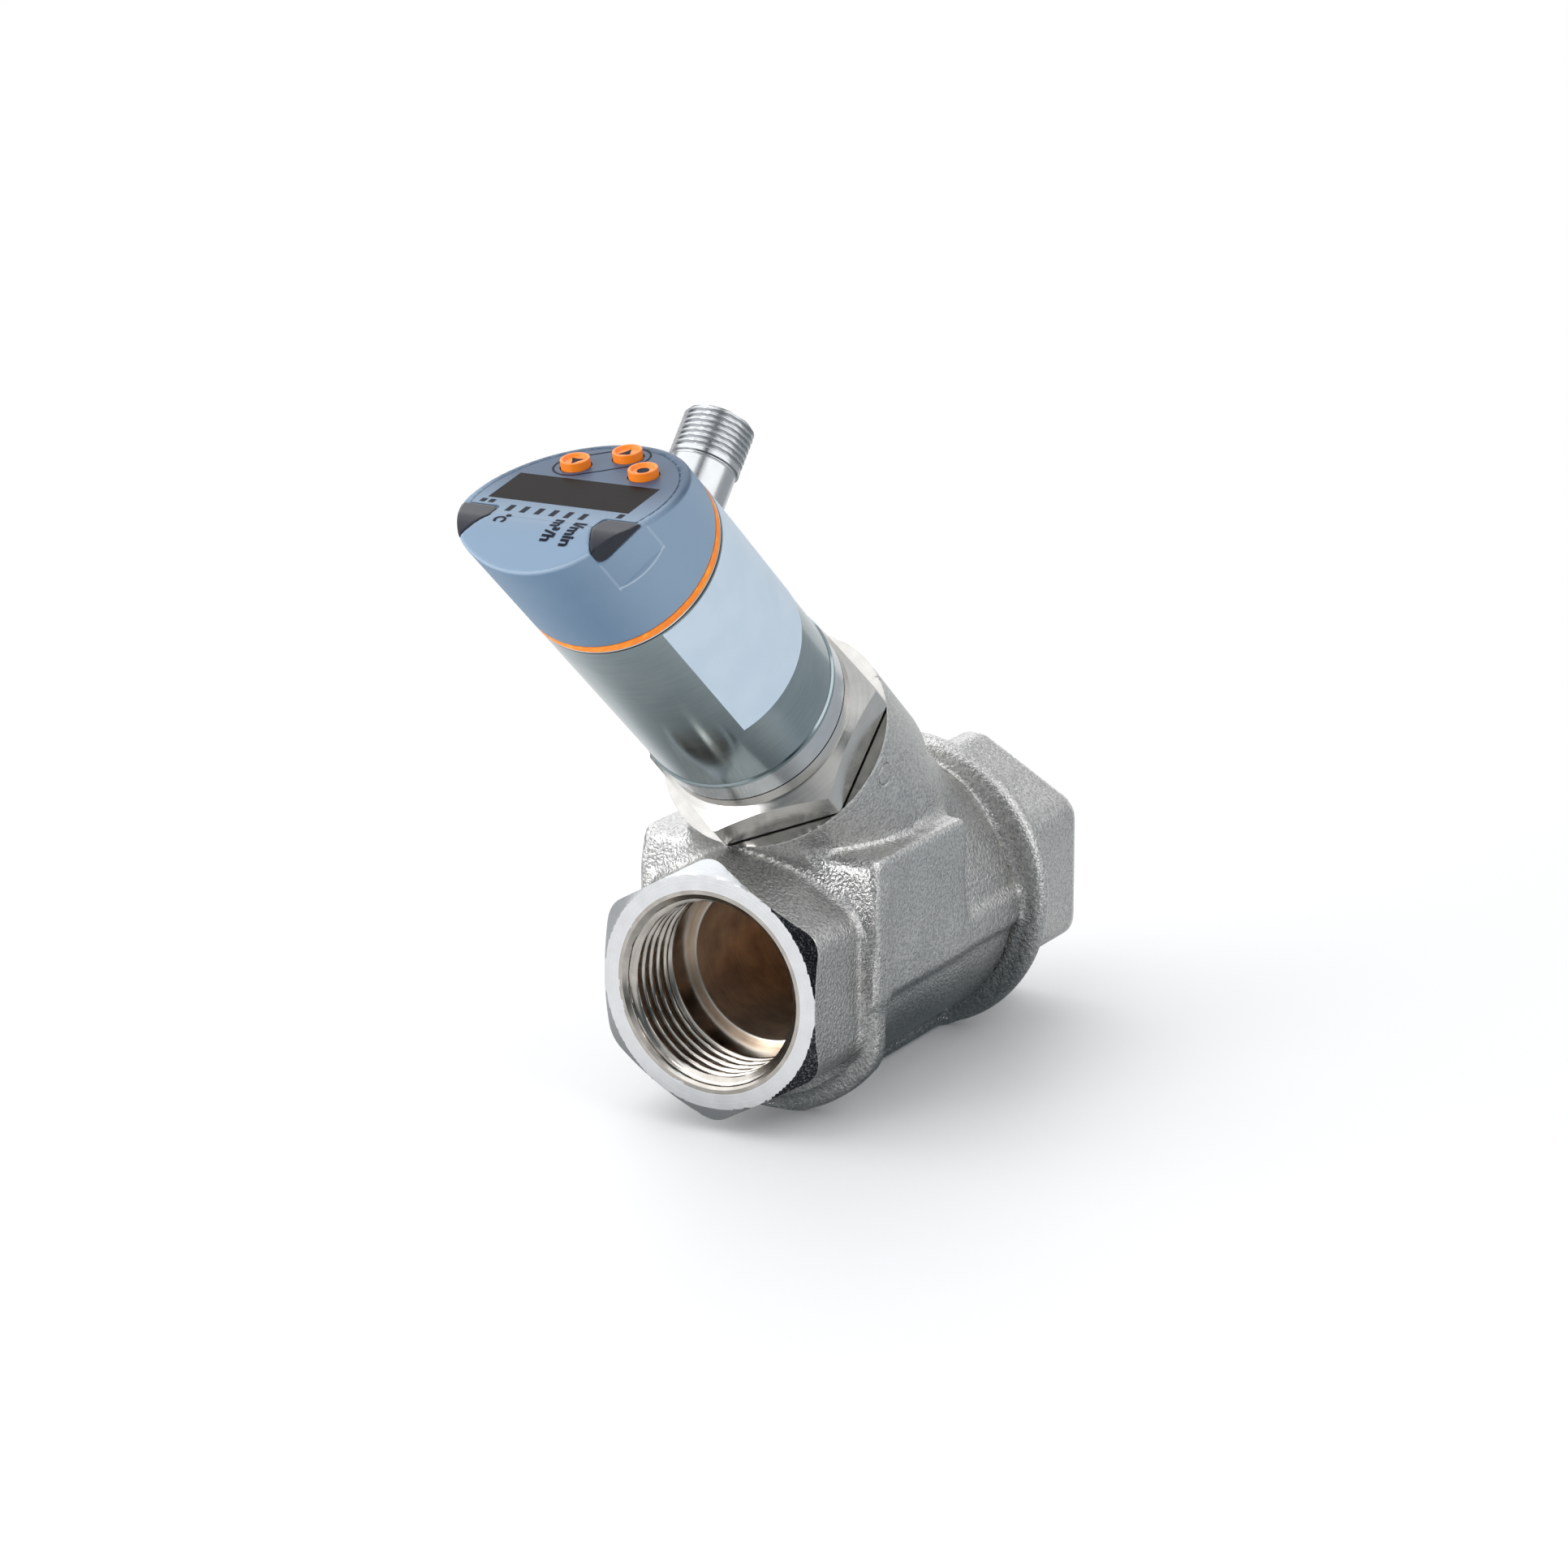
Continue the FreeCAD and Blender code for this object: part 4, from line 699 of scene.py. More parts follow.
# Piston spring: round spring steel wire wound in eight turns. It stands between the piston's head and
# the screw base, and pushes the piston back into the seat; the lift squeezes it.
def coil_tree():
    """A wire of round section wound up along Z."""
    start, given = new_tree("wound_wire", {
        "Float": ("Turns", "Radius", "Height", "Wire"), "Material": ("Metal",)})
    line = start.make("GeometryNodeCurveSpiral", {}, {
        "Resolution": 48, "Rotations": given("Turns"), "Start Radius": given("Radius"),
        "End Radius": given("Radius"), "Height": given("Height")}).get("Curve")
    section = start.make("GeometryNodeCurvePrimitiveCircle", {}, {
        "Resolution": 16, "Radius": given("Wire")}).get("Curve")
    wire = start.make("GeometryNodeCurveToMesh", {}, {
        "Curve": line, "Profile Curve": section, "Fill Caps": True})
    return ended(start, wire, given("Metal"))


def set_on_branch(across, back, along):
    """A point of the branch's own coordinates, as a place on the object."""
    return branch_foot + sum(np.outer(part, axis) for part, axis in (
        (across, (1, 0, 0)), (back, branch_back), (along, branch_axis)))


def placed(name, mesh, points, smooth_angle=30.0):
    """An object of this mesh with its corners at these points, in millimetres, and its faces outwards."""
    mesh.vertices.foreach_set("co", (np.asarray(points) * MM).astype(np.float32).ravel())
    shell = bmesh.new()
    shell.from_mesh(mesh)
    bmesh.ops.remove_doubles(shell, verts=shell.verts, dist=0.002 * MM)
    bmesh.ops.delete(shell, geom=[vertex for vertex in shell.verts if not vertex.link_faces], context="VERTS")
    bmesh.ops.recalc_face_normals(shell, faces=shell.faces)
    for face in shell.faces:
        face.smooth = True
    shell.to_mesh(mesh)
    shell.free()
    mesh.set_sharp_from_angle(angle=math.radians(smooth_angle))
    return linked(name, mesh)


def corners_of(mesh):
    """The mesh's corners as rows."""
    points = np.empty(len(mesh.vertices) * 3, np.float32)
    mesh.vertices.foreach_get("co", points)
    return points.reshape(-1, 3).astype(float)


spring_low, spring_high, spring_radius, wire_radius = 14.58, 46.45, 11.2, 0.55
coil = grown(coil_tree(), "wound_spring", {
    "Turns": 8.0, "Radius": spring_radius, "Height": spring_high - spring_low, "Wire": wire_radius,
    "Metal": spring_steel})
coil_points = corners_of(coil)
wound_spring = placed("wound_spring", coil, set_on_branch(
    coil_points[:, 0], coil_points[:, 1], coil_points[:, 2] + spring_low), 40.0)
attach(wound_spring, "valve")
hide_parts("piston_spring")
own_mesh(wound_spring)

# Can and its foot: stainless steel, the foot turned, the can drawn, polished and pressed over it. The
# can's upper edge is rolled in against the orange ring; there its colour has a painted shade line under a
# painted highlight.
paint("can_foot", turned_metal("foot_steel", *along_branch, colour(206, 209, 211), 0.14, 4.0, 0.9))
can_finish = Finish("can_steel", Metallic=1.0)
can_place = can_finish.turned_to(*along_branch)
can_along = can_finish.split(can_place)[2]
can_drawn = can_finish.start.make("ShaderNodeMapping", {}, {"Vector": can_place, "Scale": (0.12, 0.12, 3.0)})
can_streak = can_finish.noise(can_drawn, 1.2, 4.0, 0.6)
can_cloud = can_finish.noise(can_place, 0.09, 3.0)
can_tone = mottled(can_cloud, can_streak, colour(142, 156, 160), colour(158, 170, 173))
# Painted shade: a dark line in the gap under the rolled edge, with a painted highlight line above it.
gap_shade_line = can_along.step(121.45, 121.55) * (1 - can_along.step(121.8, 121.9))
can_tone = gap_shade_line.mix(can_tone, colour(40, 45, 50))
can_tone = can_along.step(121.8, 121.9).mix(can_tone, colour(240, 242, 243))
paint("can", can_finish.feed(Base_Color=can_tone, Roughness=(can_streak * 0.06 + can_cloud * 0.06) + 0.07,
                             Normal=can_finish.bump(can_streak, 0.12, 0.02)))

# Type label: pale blue film glued round the can, a little over a quarter of the way. It is blank, and
# its face is smooth with a satin gloss.
label_film = Finish("label_film", Coat_Roughness=0.2)
film_cloud = label_film.noise(label_film.place, 0.15, 3.0)
film_grain = label_film.noise(label_film.place, 9.0, 2.0)
paint("type_label", label_film.feed(
    Base_Color=film_cloud.step(0.3, 0.7).mix(colour(186, 203, 218), colour(192, 208, 222)),
    Roughness=film_grain * 0.1 + 0.34, Normal=label_film.bump(film_grain, 0.15, 0.01)))


# Plug: a turned nickel-plated shell with a fine thread, held in the can's side by its flange. The pale
# moulded insert is pressed into it, and carries four gold-plated pins.
def rounded_line(corners, reach):
    """A closed profile with each corner turned into a small arc."""
    corners = np.array(corners, float)
    before = corners - np.roll(corners, 1, axis=0)
    after = np.roll(corners, -1, axis=0) - corners
    line = []
    for corner, come, leave in zip(corners, before, after):
        if corner[0] == 0:
            line.append(corner)
            continue
        size = min(reach, np.linalg.norm(come) * 0.45, np.linalg.norm(leave) * 0.45)
        first = corner - come / np.linalg.norm(come) * size
        last = corner + leave / np.linalg.norm(leave) * size
        for share in (0.0, 0.25, 0.5, 0.75, 1.0):
            line.append((1 - share) ** 2 * first + 2 * share * (1 - share) * corner + share ** 2 * last)
    return np.array(line)


def lathe(name, corners, reach, place, material, smooth_angle=30.0, steps=96):
    """A ring turned from a closed profile of radius and height, its edges broken."""
    profile = rounded_line(corners, reach)
    profile[:, 0] = np.maximum(profile[:, 0], 0.0)
    turns = np.arange(steps) * 2 * math.pi / steps
    points = np.stack([np.outer(np.cos(turns), profile[:, 0]), np.outer(np.sin(turns), profile[:, 0]),
                       np.tile(profile[:, 1], (steps, 1))], -1).reshape(-1, 3)
    rows, count = np.arange(steps), len(profile)
    quads = []
    for index in range(count):
        following = (index + 1) % count
        if profile[index, 0] == 0 and profile[following, 0] == 0:
            continue
        quads.append(np.stack([rows * count + index, (rows + 1) % steps * count + index,
                               (rows + 1) % steps * count + following, rows * count + following], 1))
    mesh = bpy.data.meshes.new(name)
    mesh.from_pydata(points.tolist(), [], np.concatenate(quads).tolist())
    mesh.materials.append(material)
    return placed(name, mesh, place(points), smooth_angle)


plug_foot, plug_tip, thread_foot, neck_foot = 109.2, 32.3, 24.0, 22.8
plug_bore, plug_radius = 4.4, 5.65


def on_plug(points):
    """Local Z is the plug's axis, square to the branch."""
    return set_on_branch(points[:, 0], points[:, 2], plug_foot - points[:, 1])


def from_plug_tip(points):
    """Local Z runs in from the plug's open end."""
    return on_plug(np.stack([points[:, 0], -points[:, 1], plug_tip - points[:, 2]], 1))


plug_nickel = turned_metal("plug_nickel", *along_plug, colour(196, 198, 200), 0.18, 5.0, 0.9)
plug_barrel = lathe("plug_barrel", [
    (plug_bore, 11.4), (plug_radius, 11.4), (plug_radius, 13.4), (7.5, 13.4), (7.5, 14.78),
    (plug_radius, 14.78), (plug_radius, 23.35), (5.56, 23.45), (5.56, 23.55), (plug_radius, 23.65),
    (plug_radius, neck_foot + 1.1), (5.38, thread_foot + 0.3), (plug_bore, thread_foot + 0.3)],
    0.12, on_plug, plug_nickel)
plug_thread = thread_piece("plug_thread", from_plug_tip, plug_bore, {
    "Flat": 6.0, "Cut": 5.42, "Pitch": 1.0, "Length": plug_tip - thread_foot, "Thread": 7.9, "Fade": 0.5,
    "Mouth": 5.45, "Side": -1.0, "Rows": 130, "Metal": plug_nickel})
for piece in (plug_barrel, plug_thread):
    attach(piece, "housing")
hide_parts("plug_shell")


def moulded(name, tone, rough, grain_size, depth, spread=0.06):
    """Moulded plastic: an even colour with a faint cloud and a fine surface grain."""
    finish = Finish(name, Specular_IOR_Level=0.5)
    cloud = finish.noise(finish.place, 0.10, 3.0)
    grain = finish.noise(finish.place, grain_size, 3.0, 0.6)
    return finish.feed(Base_Color=mottled(cloud, grain, shaded(tone, 1 - spread), shaded(tone, 1 + spread)),
                       Roughness=grain * 0.12 + (rough - 0.06), Normal=finish.bump(grain, 0.4, depth))


paint("plug_insert", moulded("plug_plastic", colour(214, 214, 210), 0.4, 5.0, 0.01))
paint("plug_pins", turned_metal("pin_gold", *along_plug, colour(226, 190, 112), 0.2, 8.0))

# Boards inside: green glass-fibre boards with copper tracks under the lacquer. Black moulded chips and
# switches and pale small lamps are soldered on.
board = Finish("board", Specular_IOR_Level=0.5)
board_cloud = board.noise(board.place, 0.6, 4.0)
tracks = board.start.make("ShaderNodeTexVoronoi", {"distance": "CHEBYCHEV"}, {
    "Vector": board.place, "Scale": 0.5}).get("Distance")
board_mask = (tracks * 3.0).fraction().step(0.44, 0.5)
board_tone = (board_mask * 0.6 + board_cloud * 0.4).mix(colour(16, 74, 44), colour(34, 112, 66))
board_green = board.feed(Base_Color=board_tone, Roughness=board_cloud * 0.2 + 0.25,
                         Normal=board.bump(board_mask, 0.4, 0.02))
paint("main_board", board_green)
paint("screen_board", board_green)
chip_black = moulded("chip_black", colour(34, 34, 36), 0.45, 6.0, 0.01)
for node in ("field_sensor", "board_chips", "button_switches"):
    paint(node, chip_black)
paint("lamp_chips", moulded("lamp_chip", colour(222, 218, 190), 0.3, 6.0, 0.005))

# Display head: a moulded blue-grey cap, cut off at a slope that bends over to a level front, with a flat
# under each lamp window. The electronics are snapped in from below; the spigot turns in the can.
slope = math.radians(36.7)
head_radius, head_foot, slope_middle, face_top, bend = 17.2, 123.6, 140.25, 147.3, 8.0
bend_start = (slope_middle - face_top) / math.sin(slope) + bend * math.tan(slope / 2)
bend_back = bend_start * math.cos(slope) - bend * math.sin(slope)
bend_along = slope_middle - bend_start * math.sin(slope) - bend * math.cos(slope)
head_wall, spigot_radius, spigot_foot, flat_place, ledge_place = 1.8, 15.85, 117.3, 16.55, 136.3
flat_turn = math.radians(30)
button_places, button_hole = {"up": (-6.1, 11.2), "down": (0.5, 16.2), "enter": (6.8, 10.6)}, 2.6
lamp_floor, lamp_inner, lamp_turn = 143.4, 9.3, math.radians(26.6)


def face_field(v, s):
    """How far a point stands over the face: its slope, its bend or its level front."""
    sloped = (s - slope_middle) * math.cos(slope) + v * math.sin(slope)
    over_bend = np.hypot(v - bend_back, s - bend_along) - bend
    in_bend = (v > bend_back) & ((v - bend_back) * math.cos(slope) < (s - bend_along) * math.sin(slope))
    return np.where(in_bend, over_bend, np.maximum(sloped, s - face_top))


def lamp_field(u, v, s):
    """The corner that a lamp window fills, its inner edge set at an angle and rounded to its floor."""
    slanted = (lamp_inner - np.abs(u)) * math.cos(lamp_turn) - (v + 7.0) * math.sin(lamp_turn)
    return softly_cut(np.maximum(slanted, lamp_inner - np.abs(u)), lamp_floor - s, 1.6)


def head_skin(u, v, s):
    """The head's outer form without its spigot."""
    ring = np.hypot(u, v)
    body = softly_cut(face_field(v, s), ring - head_radius, 0.9)
    flat = np.abs(u) * math.cos(flat_turn) - v * math.sin(flat_turn) - flat_place
    return np.maximum(body, np.minimum(flat, (s - ledge_place + flat) * 0.7))


def head_form(points):
    """The moulded cap with its hollow, its lamp corners, the foil's recess and the holes in its face."""
    u, v, s = points.T
    ring = np.hypot(u, v)
    upper = softly_cut(head_skin(u, v, s), head_foot - s, 0.4)
    spigot = np.maximum(ring - spigot_radius, slab(s, spigot_foot, head_foot + 2))
    solid = softly_cut(np.minimum(upper, spigot), 0.06 - lamp_field(u, v, s), 0.35)
    over = face_field(v, s)
    hollow = np.maximum(ring - (head_radius - head_wall), over + head_wall)
    recess = np.maximum(np.maximum(ring - 15.72, -6.85 - v), -0.32 - over)
    y = v * math.cos(slope) - (s - slope_middle) * math.sin(slope)
    window = np.maximum(np.abs(u + 0.65) - 12.88, np.abs(y - 1.9) - 4.78)
    holes = np.maximum(window, -8 - over)
    for across, along in button_places.values():
        holes = np.minimum(holes, np.maximum(np.hypot(u - across, y - along) - button_hole, -8 - over))
    return np.maximum(solid, -np.minimum(np.minimum(hollow, recess), holes))


def lamp_form(side):
    """A lamp window: the part of the head's form in its own corner."""
    def field(points):
        u, v, s = points.T
        window = softly_cut(head_skin(u, v, s), lamp_field(u, v, s), 0.4)
        return np.maximum(window, -side * u)
    return field


head_finish = Finish("head_plastic", IOR=1.35)
head_x, head_y, head_z = head_finish.split(head_finish.turned_to(*along_branch))
head_ring_radius = (head_x * head_x + head_y * head_y).root()
head_cloud = head_finish.noise(head_finish.place, 0.10, 3.0)
head_grain = head_finish.noise(head_finish.place, 4.0, 3.0, 0.6)
# Painted highlights: thin pale lines along the rims of the flats, their ledges and the level front's rim.
across_flat = head_x.absolute() * math.cos(flat_turn) - head_y * math.sin(flat_turn) - flat_place
flat_rim = head_ring_radius.step(17.12, 17.16) * (1 - across_flat.absolute().step(0.03, 0.06))
ledge = head_z - ledge_place + across_flat
ledge_rim = (1 - ledge.absolute().step(0.08, 0.18)) * head_ring_radius.step(17.02, 17.1)
flat_highlight_lines = flat_rim * head_z.step(135.6, 135.8) * 0.4 + ledge_rim * across_flat.step(-0.04, -0.02)
front_rim_highlight = (head_z + head_ring_radius).step(163.95, 164.15)
over_slope = (head_z - slope_middle) * math.cos(slope) + head_y * math.sin(slope)
on_top = head_finish.start.math("MAXIMUM", over_slope.step(-0.9, -0.4), head_z.step(146.4, 147.0))
# Painted light: the right side is painted paler, and the top is painted darker towards the rear and paler
# towards the front.
rear_shade_share = head_y.step(-8, 7)
front_light_tone = colour(124, 146, 168)
head_tone = mottled(head_cloud, head_grain, colour(93, 119, 144), colour(100, 126, 151))
head_tone = (head_x.step(6, 17) * 0.6).mix(head_tone, colour(146, 168, 190))
head_tone = (on_top * rear_shade_share).mix(head_tone, colour(64, 87, 113))
head_tone = (on_top * (1 - rear_shade_share)).mix(head_tone, front_light_tone)
painted_highlight_share = flat_highlight_lines * 0.4 + front_rim_highlight * 0.4
head_tone = head_finish.start.math("MINIMUM", painted_highlight_share, 0.6).mix(head_tone, colour(205, 217, 228))
head_plastic = head_finish.feed(Base_Color=head_tone, Roughness=head_grain * 0.12 + 0.36,
                                Normal=head_finish.bump(head_grain, 0.4, 0.012))
cap = contoured("moulded_cap", head_form, (-18.1, -18.1, 116.6), (18.1, 18.1, 148.1), 0.4, [head_plastic],
                place=set_on_branch)
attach(cap, "head")
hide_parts("head_cap")

# Face foil: a thin satin film glued flush into the slope and round its bend, with openings for the
# screen's window and the three buttons. Its colour is painted paler towards the front, as painted light where
# it faces the lamps.
film = Finish("face_film", IOR=1.35)
film_y = film.split(film.turned_to(*along_branch))[1]
foil_cloud = film.noise(film.place, 0.10, 3.0)
foil_grain = film.noise(film.place, 5.0, 3.0, 0.6)
film_tone = mottled(foil_cloud, foil_grain, colour(58, 80, 106), colour(64, 86, 112))
# Painted light: the foil is painted paler towards the front.
film_tone = (1 - film_y.step(-8, 7)).mix(film_tone, front_light_tone)
face_film = film.feed(Base_Color=film_tone, Roughness=foil_grain * 0.12 + 0.34,
                      Normal=film.bump(foil_grain, 0.4, 0.008))


def on_face(across, along, height):
    """A point of the face: across it, along its slope and over its bend, and above it."""
    parts = (np.asarray(part, float) for part in (across, along, height))
    across, along, height = np.broadcast_arrays(*parts)
    turned = np.clip((bend_start - along) / bend, 0, slope)
    lean = slope - turned
    level_run = np.maximum(bend_start - bend * slope - along, 0)
    sloped = np.maximum(along - bend_start, 0)
    back_place = bend_back + (bend + height) * np.sin(lean) - level_run + sloped * math.cos(slope)
    along_place = bend_along + (bend + height) * np.cos(lean) - sloped * math.sin(slope)
    return set_on_branch(across, back_place, along_place)


def sheet_of(name, outlines, low, high, material):
    """A flat sheet with these outlines and holes, laid on the face between two heights."""
    curve = bpy.data.curves.new(name, "CURVE")
    curve.dimensions = "2D"
    curve.fill_mode = "BOTH"
    curve.extrude = (high - low) / 2
    for outline in outlines:
        spline = curve.splines.new("POLY")
        spline.points.add(len(outline) - 1)
        for point, (x, y) in zip(spline.points, outline):
            point.co = (x, y, 0.0, 1.0)
        spline.use_cyclic_u = True
    mesh = plain_mesh(linked(name, curve))
    mesh.materials.clear()
    mesh.materials.append(material)
    points = corners_of(mesh)
    return placed(name, mesh, on_face(points[:, 0], points[:, 1], points[:, 2] + (low + high) / 2))


def circle_line(across, along, radius, steps=48):
    """The corners of a circle."""
    turns = np.arange(steps) * 2 * math.pi / steps
    return [(across + radius * math.cos(turn), along + radius * math.sin(turn)) for turn in turns]


foil_radius, foil_front, corner_round, foil_depth = 15.7, -6.8, 0.9, 0.3
lamp_back = (slope_middle - lamp_floor) / math.tan(slope)
window_left, window_right, window_low, window_high = -13.5, 12.2, -2.85, 6.65
foil_turn = math.asin(lamp_back / foil_radius)
foil_rim = [(foil_radius * math.cos(turn), foil_radius * math.sin(turn))
            for turn in np.linspace(foil_turn, math.pi - foil_turn, 90)]
corner_turns = np.linspace(0, math.pi / 2, 7)
left_corner = [(-lamp_inner - corner_round + corner_round * math.sin(turn),
                lamp_back - corner_round + corner_round * math.cos(turn)) for turn in corner_turns]
foil_outline = foil_rim + left_corner + [(-lamp_inner, foil_front), (lamp_inner, foil_front)]
foil_outline += [(-x, y) for x, y in left_corner[::-1]]
foil_outline = [(x, y / math.cos(slope)) for x, y in foil_outline]
window_outline = [(window_left, window_low), (window_right, window_low),
                  (window_right, window_high), (window_left, window_high)]
holes = [window_outline] + [circle_line(x, y, button_hole) for x, y in button_places.values()]
foil = sheet_of("printed_foil", [foil_outline] + holes, -foil_depth, 0.0, face_film)
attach(foil, "head")
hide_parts("face_foil")

# Lamp windows: smoked clear plastic, moulded and glued flush into the head's two front corners, over
# the small lamps that show the switching state.
lamp_smoke = moulded("lamp_smoke", colour(38, 41, 48), 0.2, 3.0, 0.004, 0.35)
lamp_smoke.node_tree.nodes["Principled BSDF"].inputs["IOR"].default_value = 1.25
for side, name in ((1, "right"), (-1, "left")):
    low, high = sorted((side * 8.4, side * 17.9))
    lamp_window = contoured("smoked_window_" + name, lamp_form(side), (low, -15.2, 142.5),
                            (high, -3.0, 148.1), 0.22, [lamp_smoke], place=set_on_branch)
    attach(lamp_window, "head")
    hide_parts("lamp_" + name)

# Face print: dark ink on the head's face. Six ticks stand under the screen, three short bars in its
# corners, the units beside the lamps they belong to, and an outline round the two arrow buttons.
ink = Finish("ink", IOR=1.15)
ink_grain = ink.noise(ink.place, 4.0, 3.0)
ink = ink.feed(Base_Color=ink_grain.mix(colour(20, 22, 32), colour(38, 41, 54)),
               Roughness=ink_grain * 0.2 + 0.4, Normal=ink.bump(ink_grain, 0.2, 0.01))
ink_height, letter_growth, letter_lift = 0.03, 0.035, 0.05


def bar_tree():
    """A row of flat bars, one step apart along X."""
    start, given = new_tree("bar_row", {"Int": ("Count",), "Vector": ("Step", "Bar"), "Material": ("Ink",)})
    line = start.make("GeometryNodeMeshLine", {}, {"Count": given("Count"), "Offset": given("Step")})
    bar = start.make("GeometryNodeMeshCube", {}, {
        "Size": given("Bar"), "Vertices X": 2, "Vertices Y": 5, "Vertices Z": 2}).get("Mesh")
    row = start.make("GeometryNodeInstanceOnPoints", {}, {"Points": line, "Instance": bar})
    return ended(start, row, given("Ink"))


def finely_cut(mesh, axis, low, high, step):
    """Cuts a flat mesh along evenly spaced lines, so that it can follow a bend."""
    shell = bmesh.new()
    shell.from_mesh(mesh)
    for value in np.arange(low, high, step):
        everything = shell.verts[:] + shell.edges[:] + shell.faces[:]
        bmesh.ops.bisect_plane(shell, geom=everything, plane_co=Vector(axis) * float(value), plane_no=axis)
    bmesh.ops.triangulate(shell, faces=shell.faces)
    shell.to_mesh(mesh)
    shell.free()
    return mesh


def printed(name, mesh, across, along):
    """A print that lies on the face, from its flat mesh in millimetres."""
    points = corners_of(mesh)
    item = placed(name, mesh, on_face(across + points[:, 0], along + points[:, 1], points[:, 2]))
    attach(item, "head")
    return item


def unit_sign(name, words, across, along, length, height):
    """Small letters that read towards the front, with their tops to the right."""
    curve = bpy.data.curves.new(name, "FONT")
    curve.body = words
    curve.extrude = ink_height / 2
    curve.offset = letter_growth
    mesh = plain_mesh(linked(name, curve))
    mesh.materials.clear()
    mesh.materials.append(ink)
    points = corners_of(mesh)
    low, high = points.min(axis=0), points.max(axis=0)
    flat = np.stack([(points[:, 1] - low[1]) / (high[1] - low[1]) * height,
                     (low[0] - points[:, 0]) / (high[0] - low[0]) * length,
                     points[:, 2] + ink_height / 2 + letter_lift], 1)
    mesh.vertices.foreach_set("co", flat.astype(np.float32).ravel())
    return printed(name, finely_cut(mesh, (0, 1, 0), -length, 0, 0.3), across, along)


bars = bar_tree()
for name, count, across, along, step, length in (
        ("ticks", 6, -7.42, -5.75, 2.66, 2.2), ("bar_right", 1, 11.55, -4.05, 1.55, 1.5),
        ("bar_left", 2, -13.45, -4.1, 1.55, 1.2)):
    printed(name, grown(bars, name, {"Count": count, "Step": (step, 0.0, 0.0),
                                     "Bar": (1.0, length, ink_height), "Ink": ink}), across, along)
for name, words, across, along, length in (
        ("sign_degrees", "\u00b0C", -7.75, -8.0, 2.6), ("sign_cubic_metres", "m\u00b3/h", 2.35, -7.75, 5.7),
        ("sign_litres", "l/min", 5.95, -8.0, 5.9)):
    unit_sign(name, words, across, along, length, 2.2)


def stadium(first, last, radius, steps=24):
    """The outline round two round buttons."""
    first, last = np.array(first), np.array(last)
    heading = math.atan2(*(last - first)[::-1])
    turns = np.linspace(-math.pi / 2, math.pi / 2, steps)
    ends = [(last, heading + turns), (first, heading + math.pi + turns)]
    return np.concatenate([centre + radius * np.stack([np.cos(turn), np.sin(turn)], 1)
                           for centre, turn in ends])


def strip(name, outline, width, closed, material, top=ink_height):
    """A thin flat line of ink along an outline on the face."""
    along = np.roll(outline, -1, axis=0) - np.roll(outline, 1, axis=0)
    if not closed:
        along[0], along[-1] = outline[1] - outline[0], outline[-1] - outline[-2]
    side = np.stack([-along[:, 1], along[:, 0]], 1) / np.linalg.norm(along, axis=1)[:, None] * width / 2
    count = len(outline)
    rings = [(outline - side, -0.02), (outline + side, -0.02), (outline + side, top), (outline - side, top)]
    points = np.concatenate([np.column_stack([line, np.full(count, height)]) for line, height in rings])
    last = count if closed else count - 1
    quads = [(ring * count + index, ring * count + (index + 1) % count,
              (ring + 1) % 4 * count + (index + 1) % count, (ring + 1) % 4 * count + index)
             for ring in range(4) for index in range(last)]
    if not closed:
        quads += [(0, count, 2 * count, 3 * count), tuple(ring * count + count - 1 for ring in (3, 2, 1, 0))]
    mesh = bpy.data.meshes.new(name)
    mesh.from_pydata(points.tolist(), [], quads)
    mesh.materials.append(material)
    return printed(name, mesh, 0.0, 0.0)


strip("button_outline", stadium(button_places["up"], button_places["down"], 3.6), 0.34, True, ink)

# Foil edge: the narrow shadow line where the foil stops short of the head's rim, laid as a thin dark
# strip over the gap, so that it stays sharp.
edge_shadow = Finish("edge_shadow", Specular_IOR_Level=0.2)
edge_grain = edge_shadow.noise(edge_shadow.place, 2.0, 3.0)
edge_shadow = edge_shadow.feed(Base_Color=edge_grain.mix(colour(58, 74, 92), colour(84, 102, 122)),
                               Roughness=edge_grain * 0.2 + 0.5,
                               Normal=edge_shadow.bump(edge_grain, 0.2, 0.01))
foil_line = np.array([(x, y / math.cos(slope)) for x, y in foil_rim])
strip("foil_edge", foil_line, 0.13, False, edge_shadow, 0.012)

# Head ring: an orange moulded seal, squeezed between the can's rolled edge and the head, with which
# it turns.
paint("head_ring", rubber("orange_rubber", colour(246, 132, 30)))

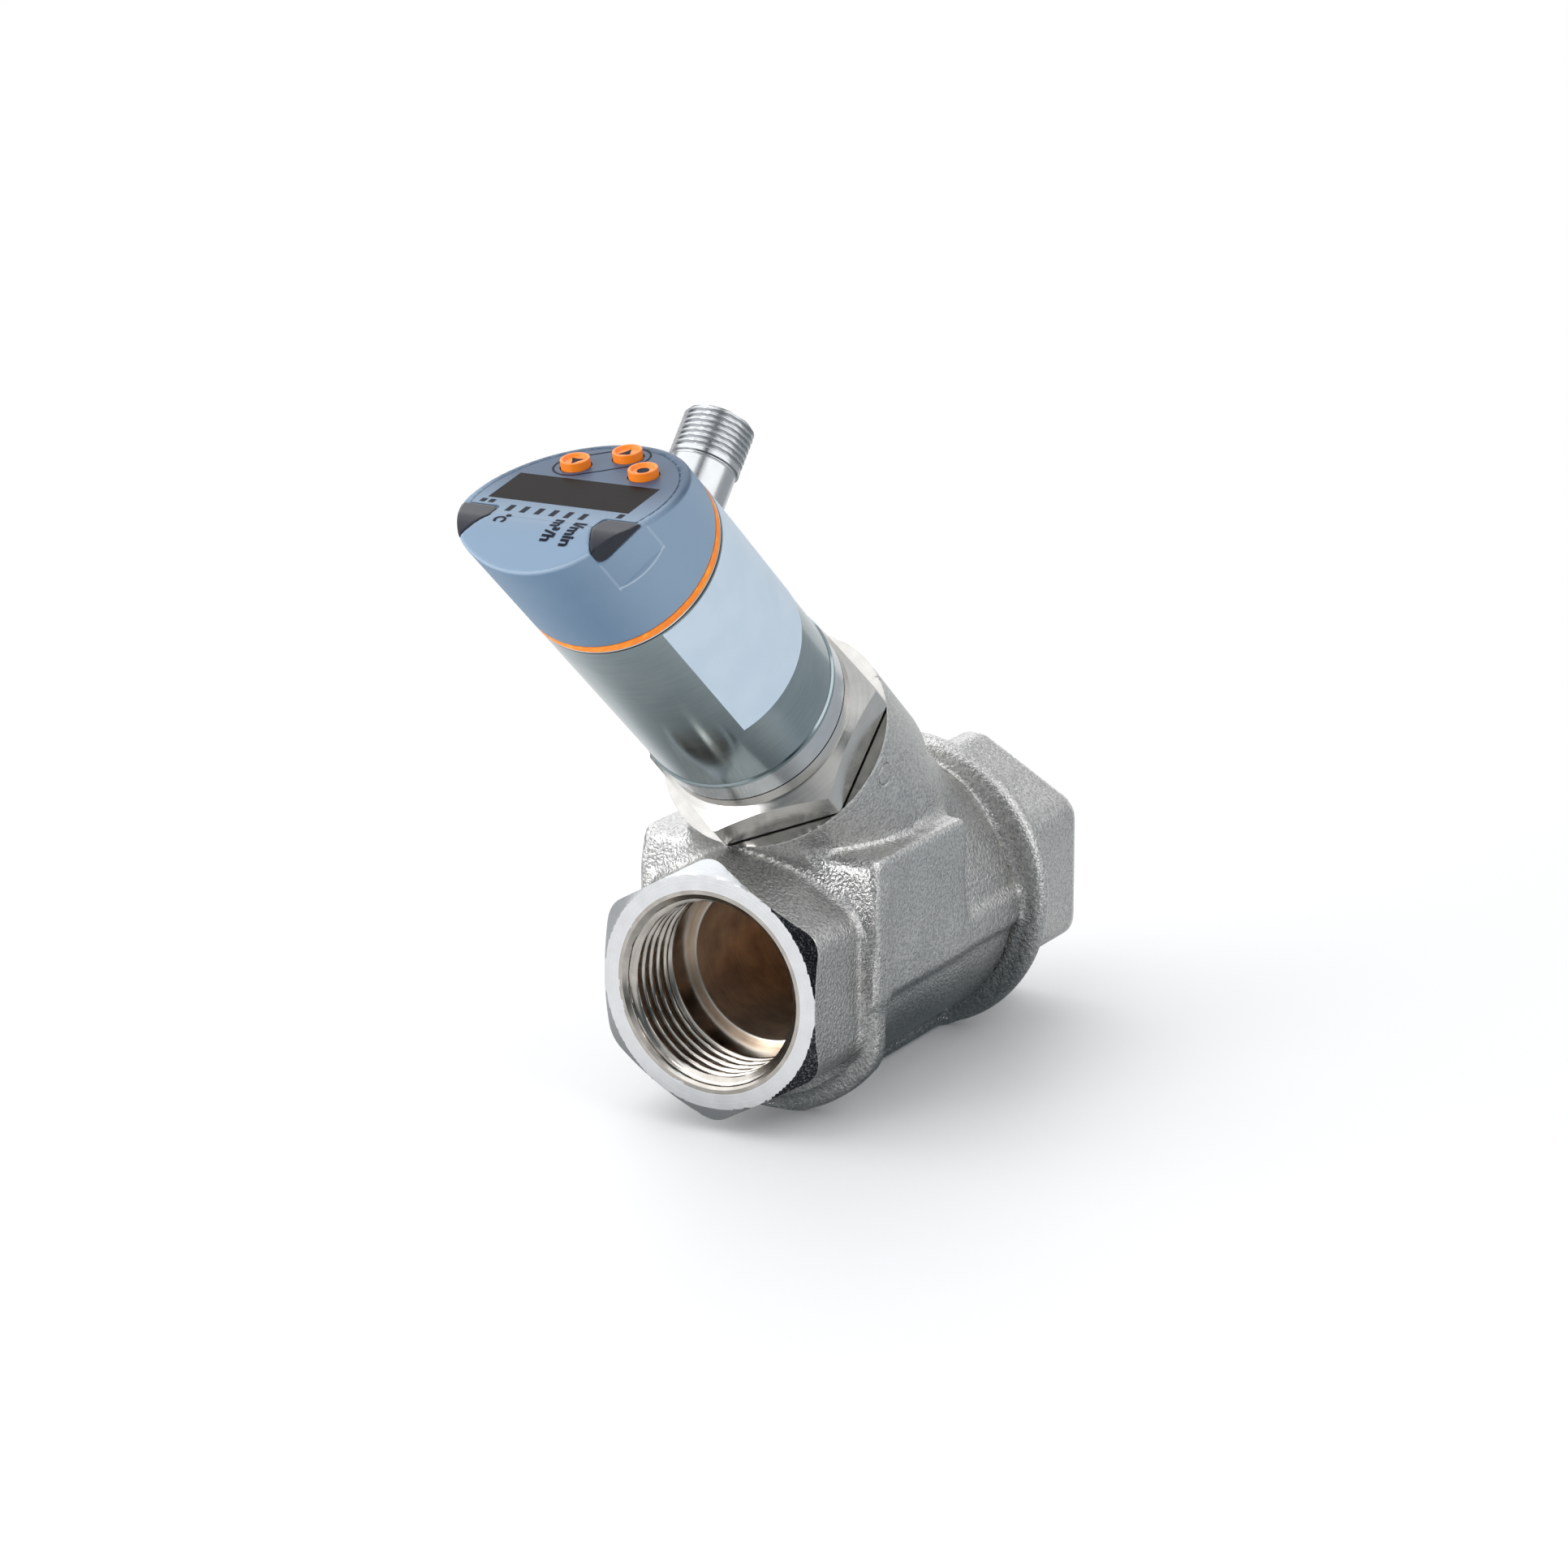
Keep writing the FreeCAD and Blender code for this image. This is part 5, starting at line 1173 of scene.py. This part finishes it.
# Display: a smoked window set into the foil's opening, over a black segment screen that is soldered to
# the board on the slope.
window_smoke = moulded("window_smoke", colour(34, 31, 30), 0.24, 3.0, 0.002, 0.1)
window_smoke.node_tree.nodes["Principled BSDF"].inputs["IOR"].default_value = 1.08
paint("display_window", window_smoke)
paint("screen", moulded("screen_black", colour(20, 20, 20), 0.3, 5.0, 0.002))

# Push buttons: moulded orange keys with a dished top, each held by a collar under the face. A black
# symbol is printed in each dish: two arrows that point to the front and to the rear, and a dot.
orange_key = moulded("orange_key", colour(255, 134, 22), 0.36, 5.0, 0.006, 0.05)
symbol_height, key_radius, key_rise, dish_radius, key_foot = 0.9, 2.4, 1.35, 1.95, -2.5


def on_button(centre):
    """Local Z stands square on the face, over this button's middle."""
    return lambda points: on_face(centre[0] + points[:, 0], centre[1] + points[:, 1], points[:, 2])


def symbol(name, outline, centre):
    """A flat prism of this outline on the bottom of a button's dish."""
    count = len(outline)
    points = [(x, y, symbol_height + height) for height in (-0.02, 0.03) for x, y in outline]
    sides = [(index, (index + 1) % count, count + (index + 1) % count, count + index)
             for index in range(count)]
    mesh = bpy.data.meshes.new(name)
    mesh.from_pydata(points, [], sides + [tuple(range(count))[::-1], tuple(range(count, 2 * count))])
    mesh.materials.append(ink)
    return placed(name, mesh, on_button(centre)(corners_of(mesh)))


arrow = [(-1.15, -0.95), (0.0, -0.8), (1.15, -0.95), (0.5, 0.05), (0.0, 1.3), (-0.5, 0.05)]
dot = [(math.cos(turn), math.sin(turn)) for turn in np.arange(32) * math.pi / 16]
symbols = {"up": [(x, -y) for x, y in arrow][::-1], "down": arrow, "enter": dot}
for key, centre in button_places.items():
    cup = lathe("key_" + key, [
        (0.0, -1.7), (1.0, -1.7), (1.0, key_foot), (3.15, key_foot), (3.15, -1.83), (key_radius, -1.83),
        (key_radius, key_rise), (dish_radius, key_rise), (dish_radius - 0.3, symbol_height),
        (0.0, symbol_height)], 0.14, on_button(centre), orange_key, 40.0, 64)
    mark = symbol("symbol_" + key, symbols[key], centre)
    for piece in (cup, mark):
        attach(piece, key + "_button")
    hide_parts("button_" + key)
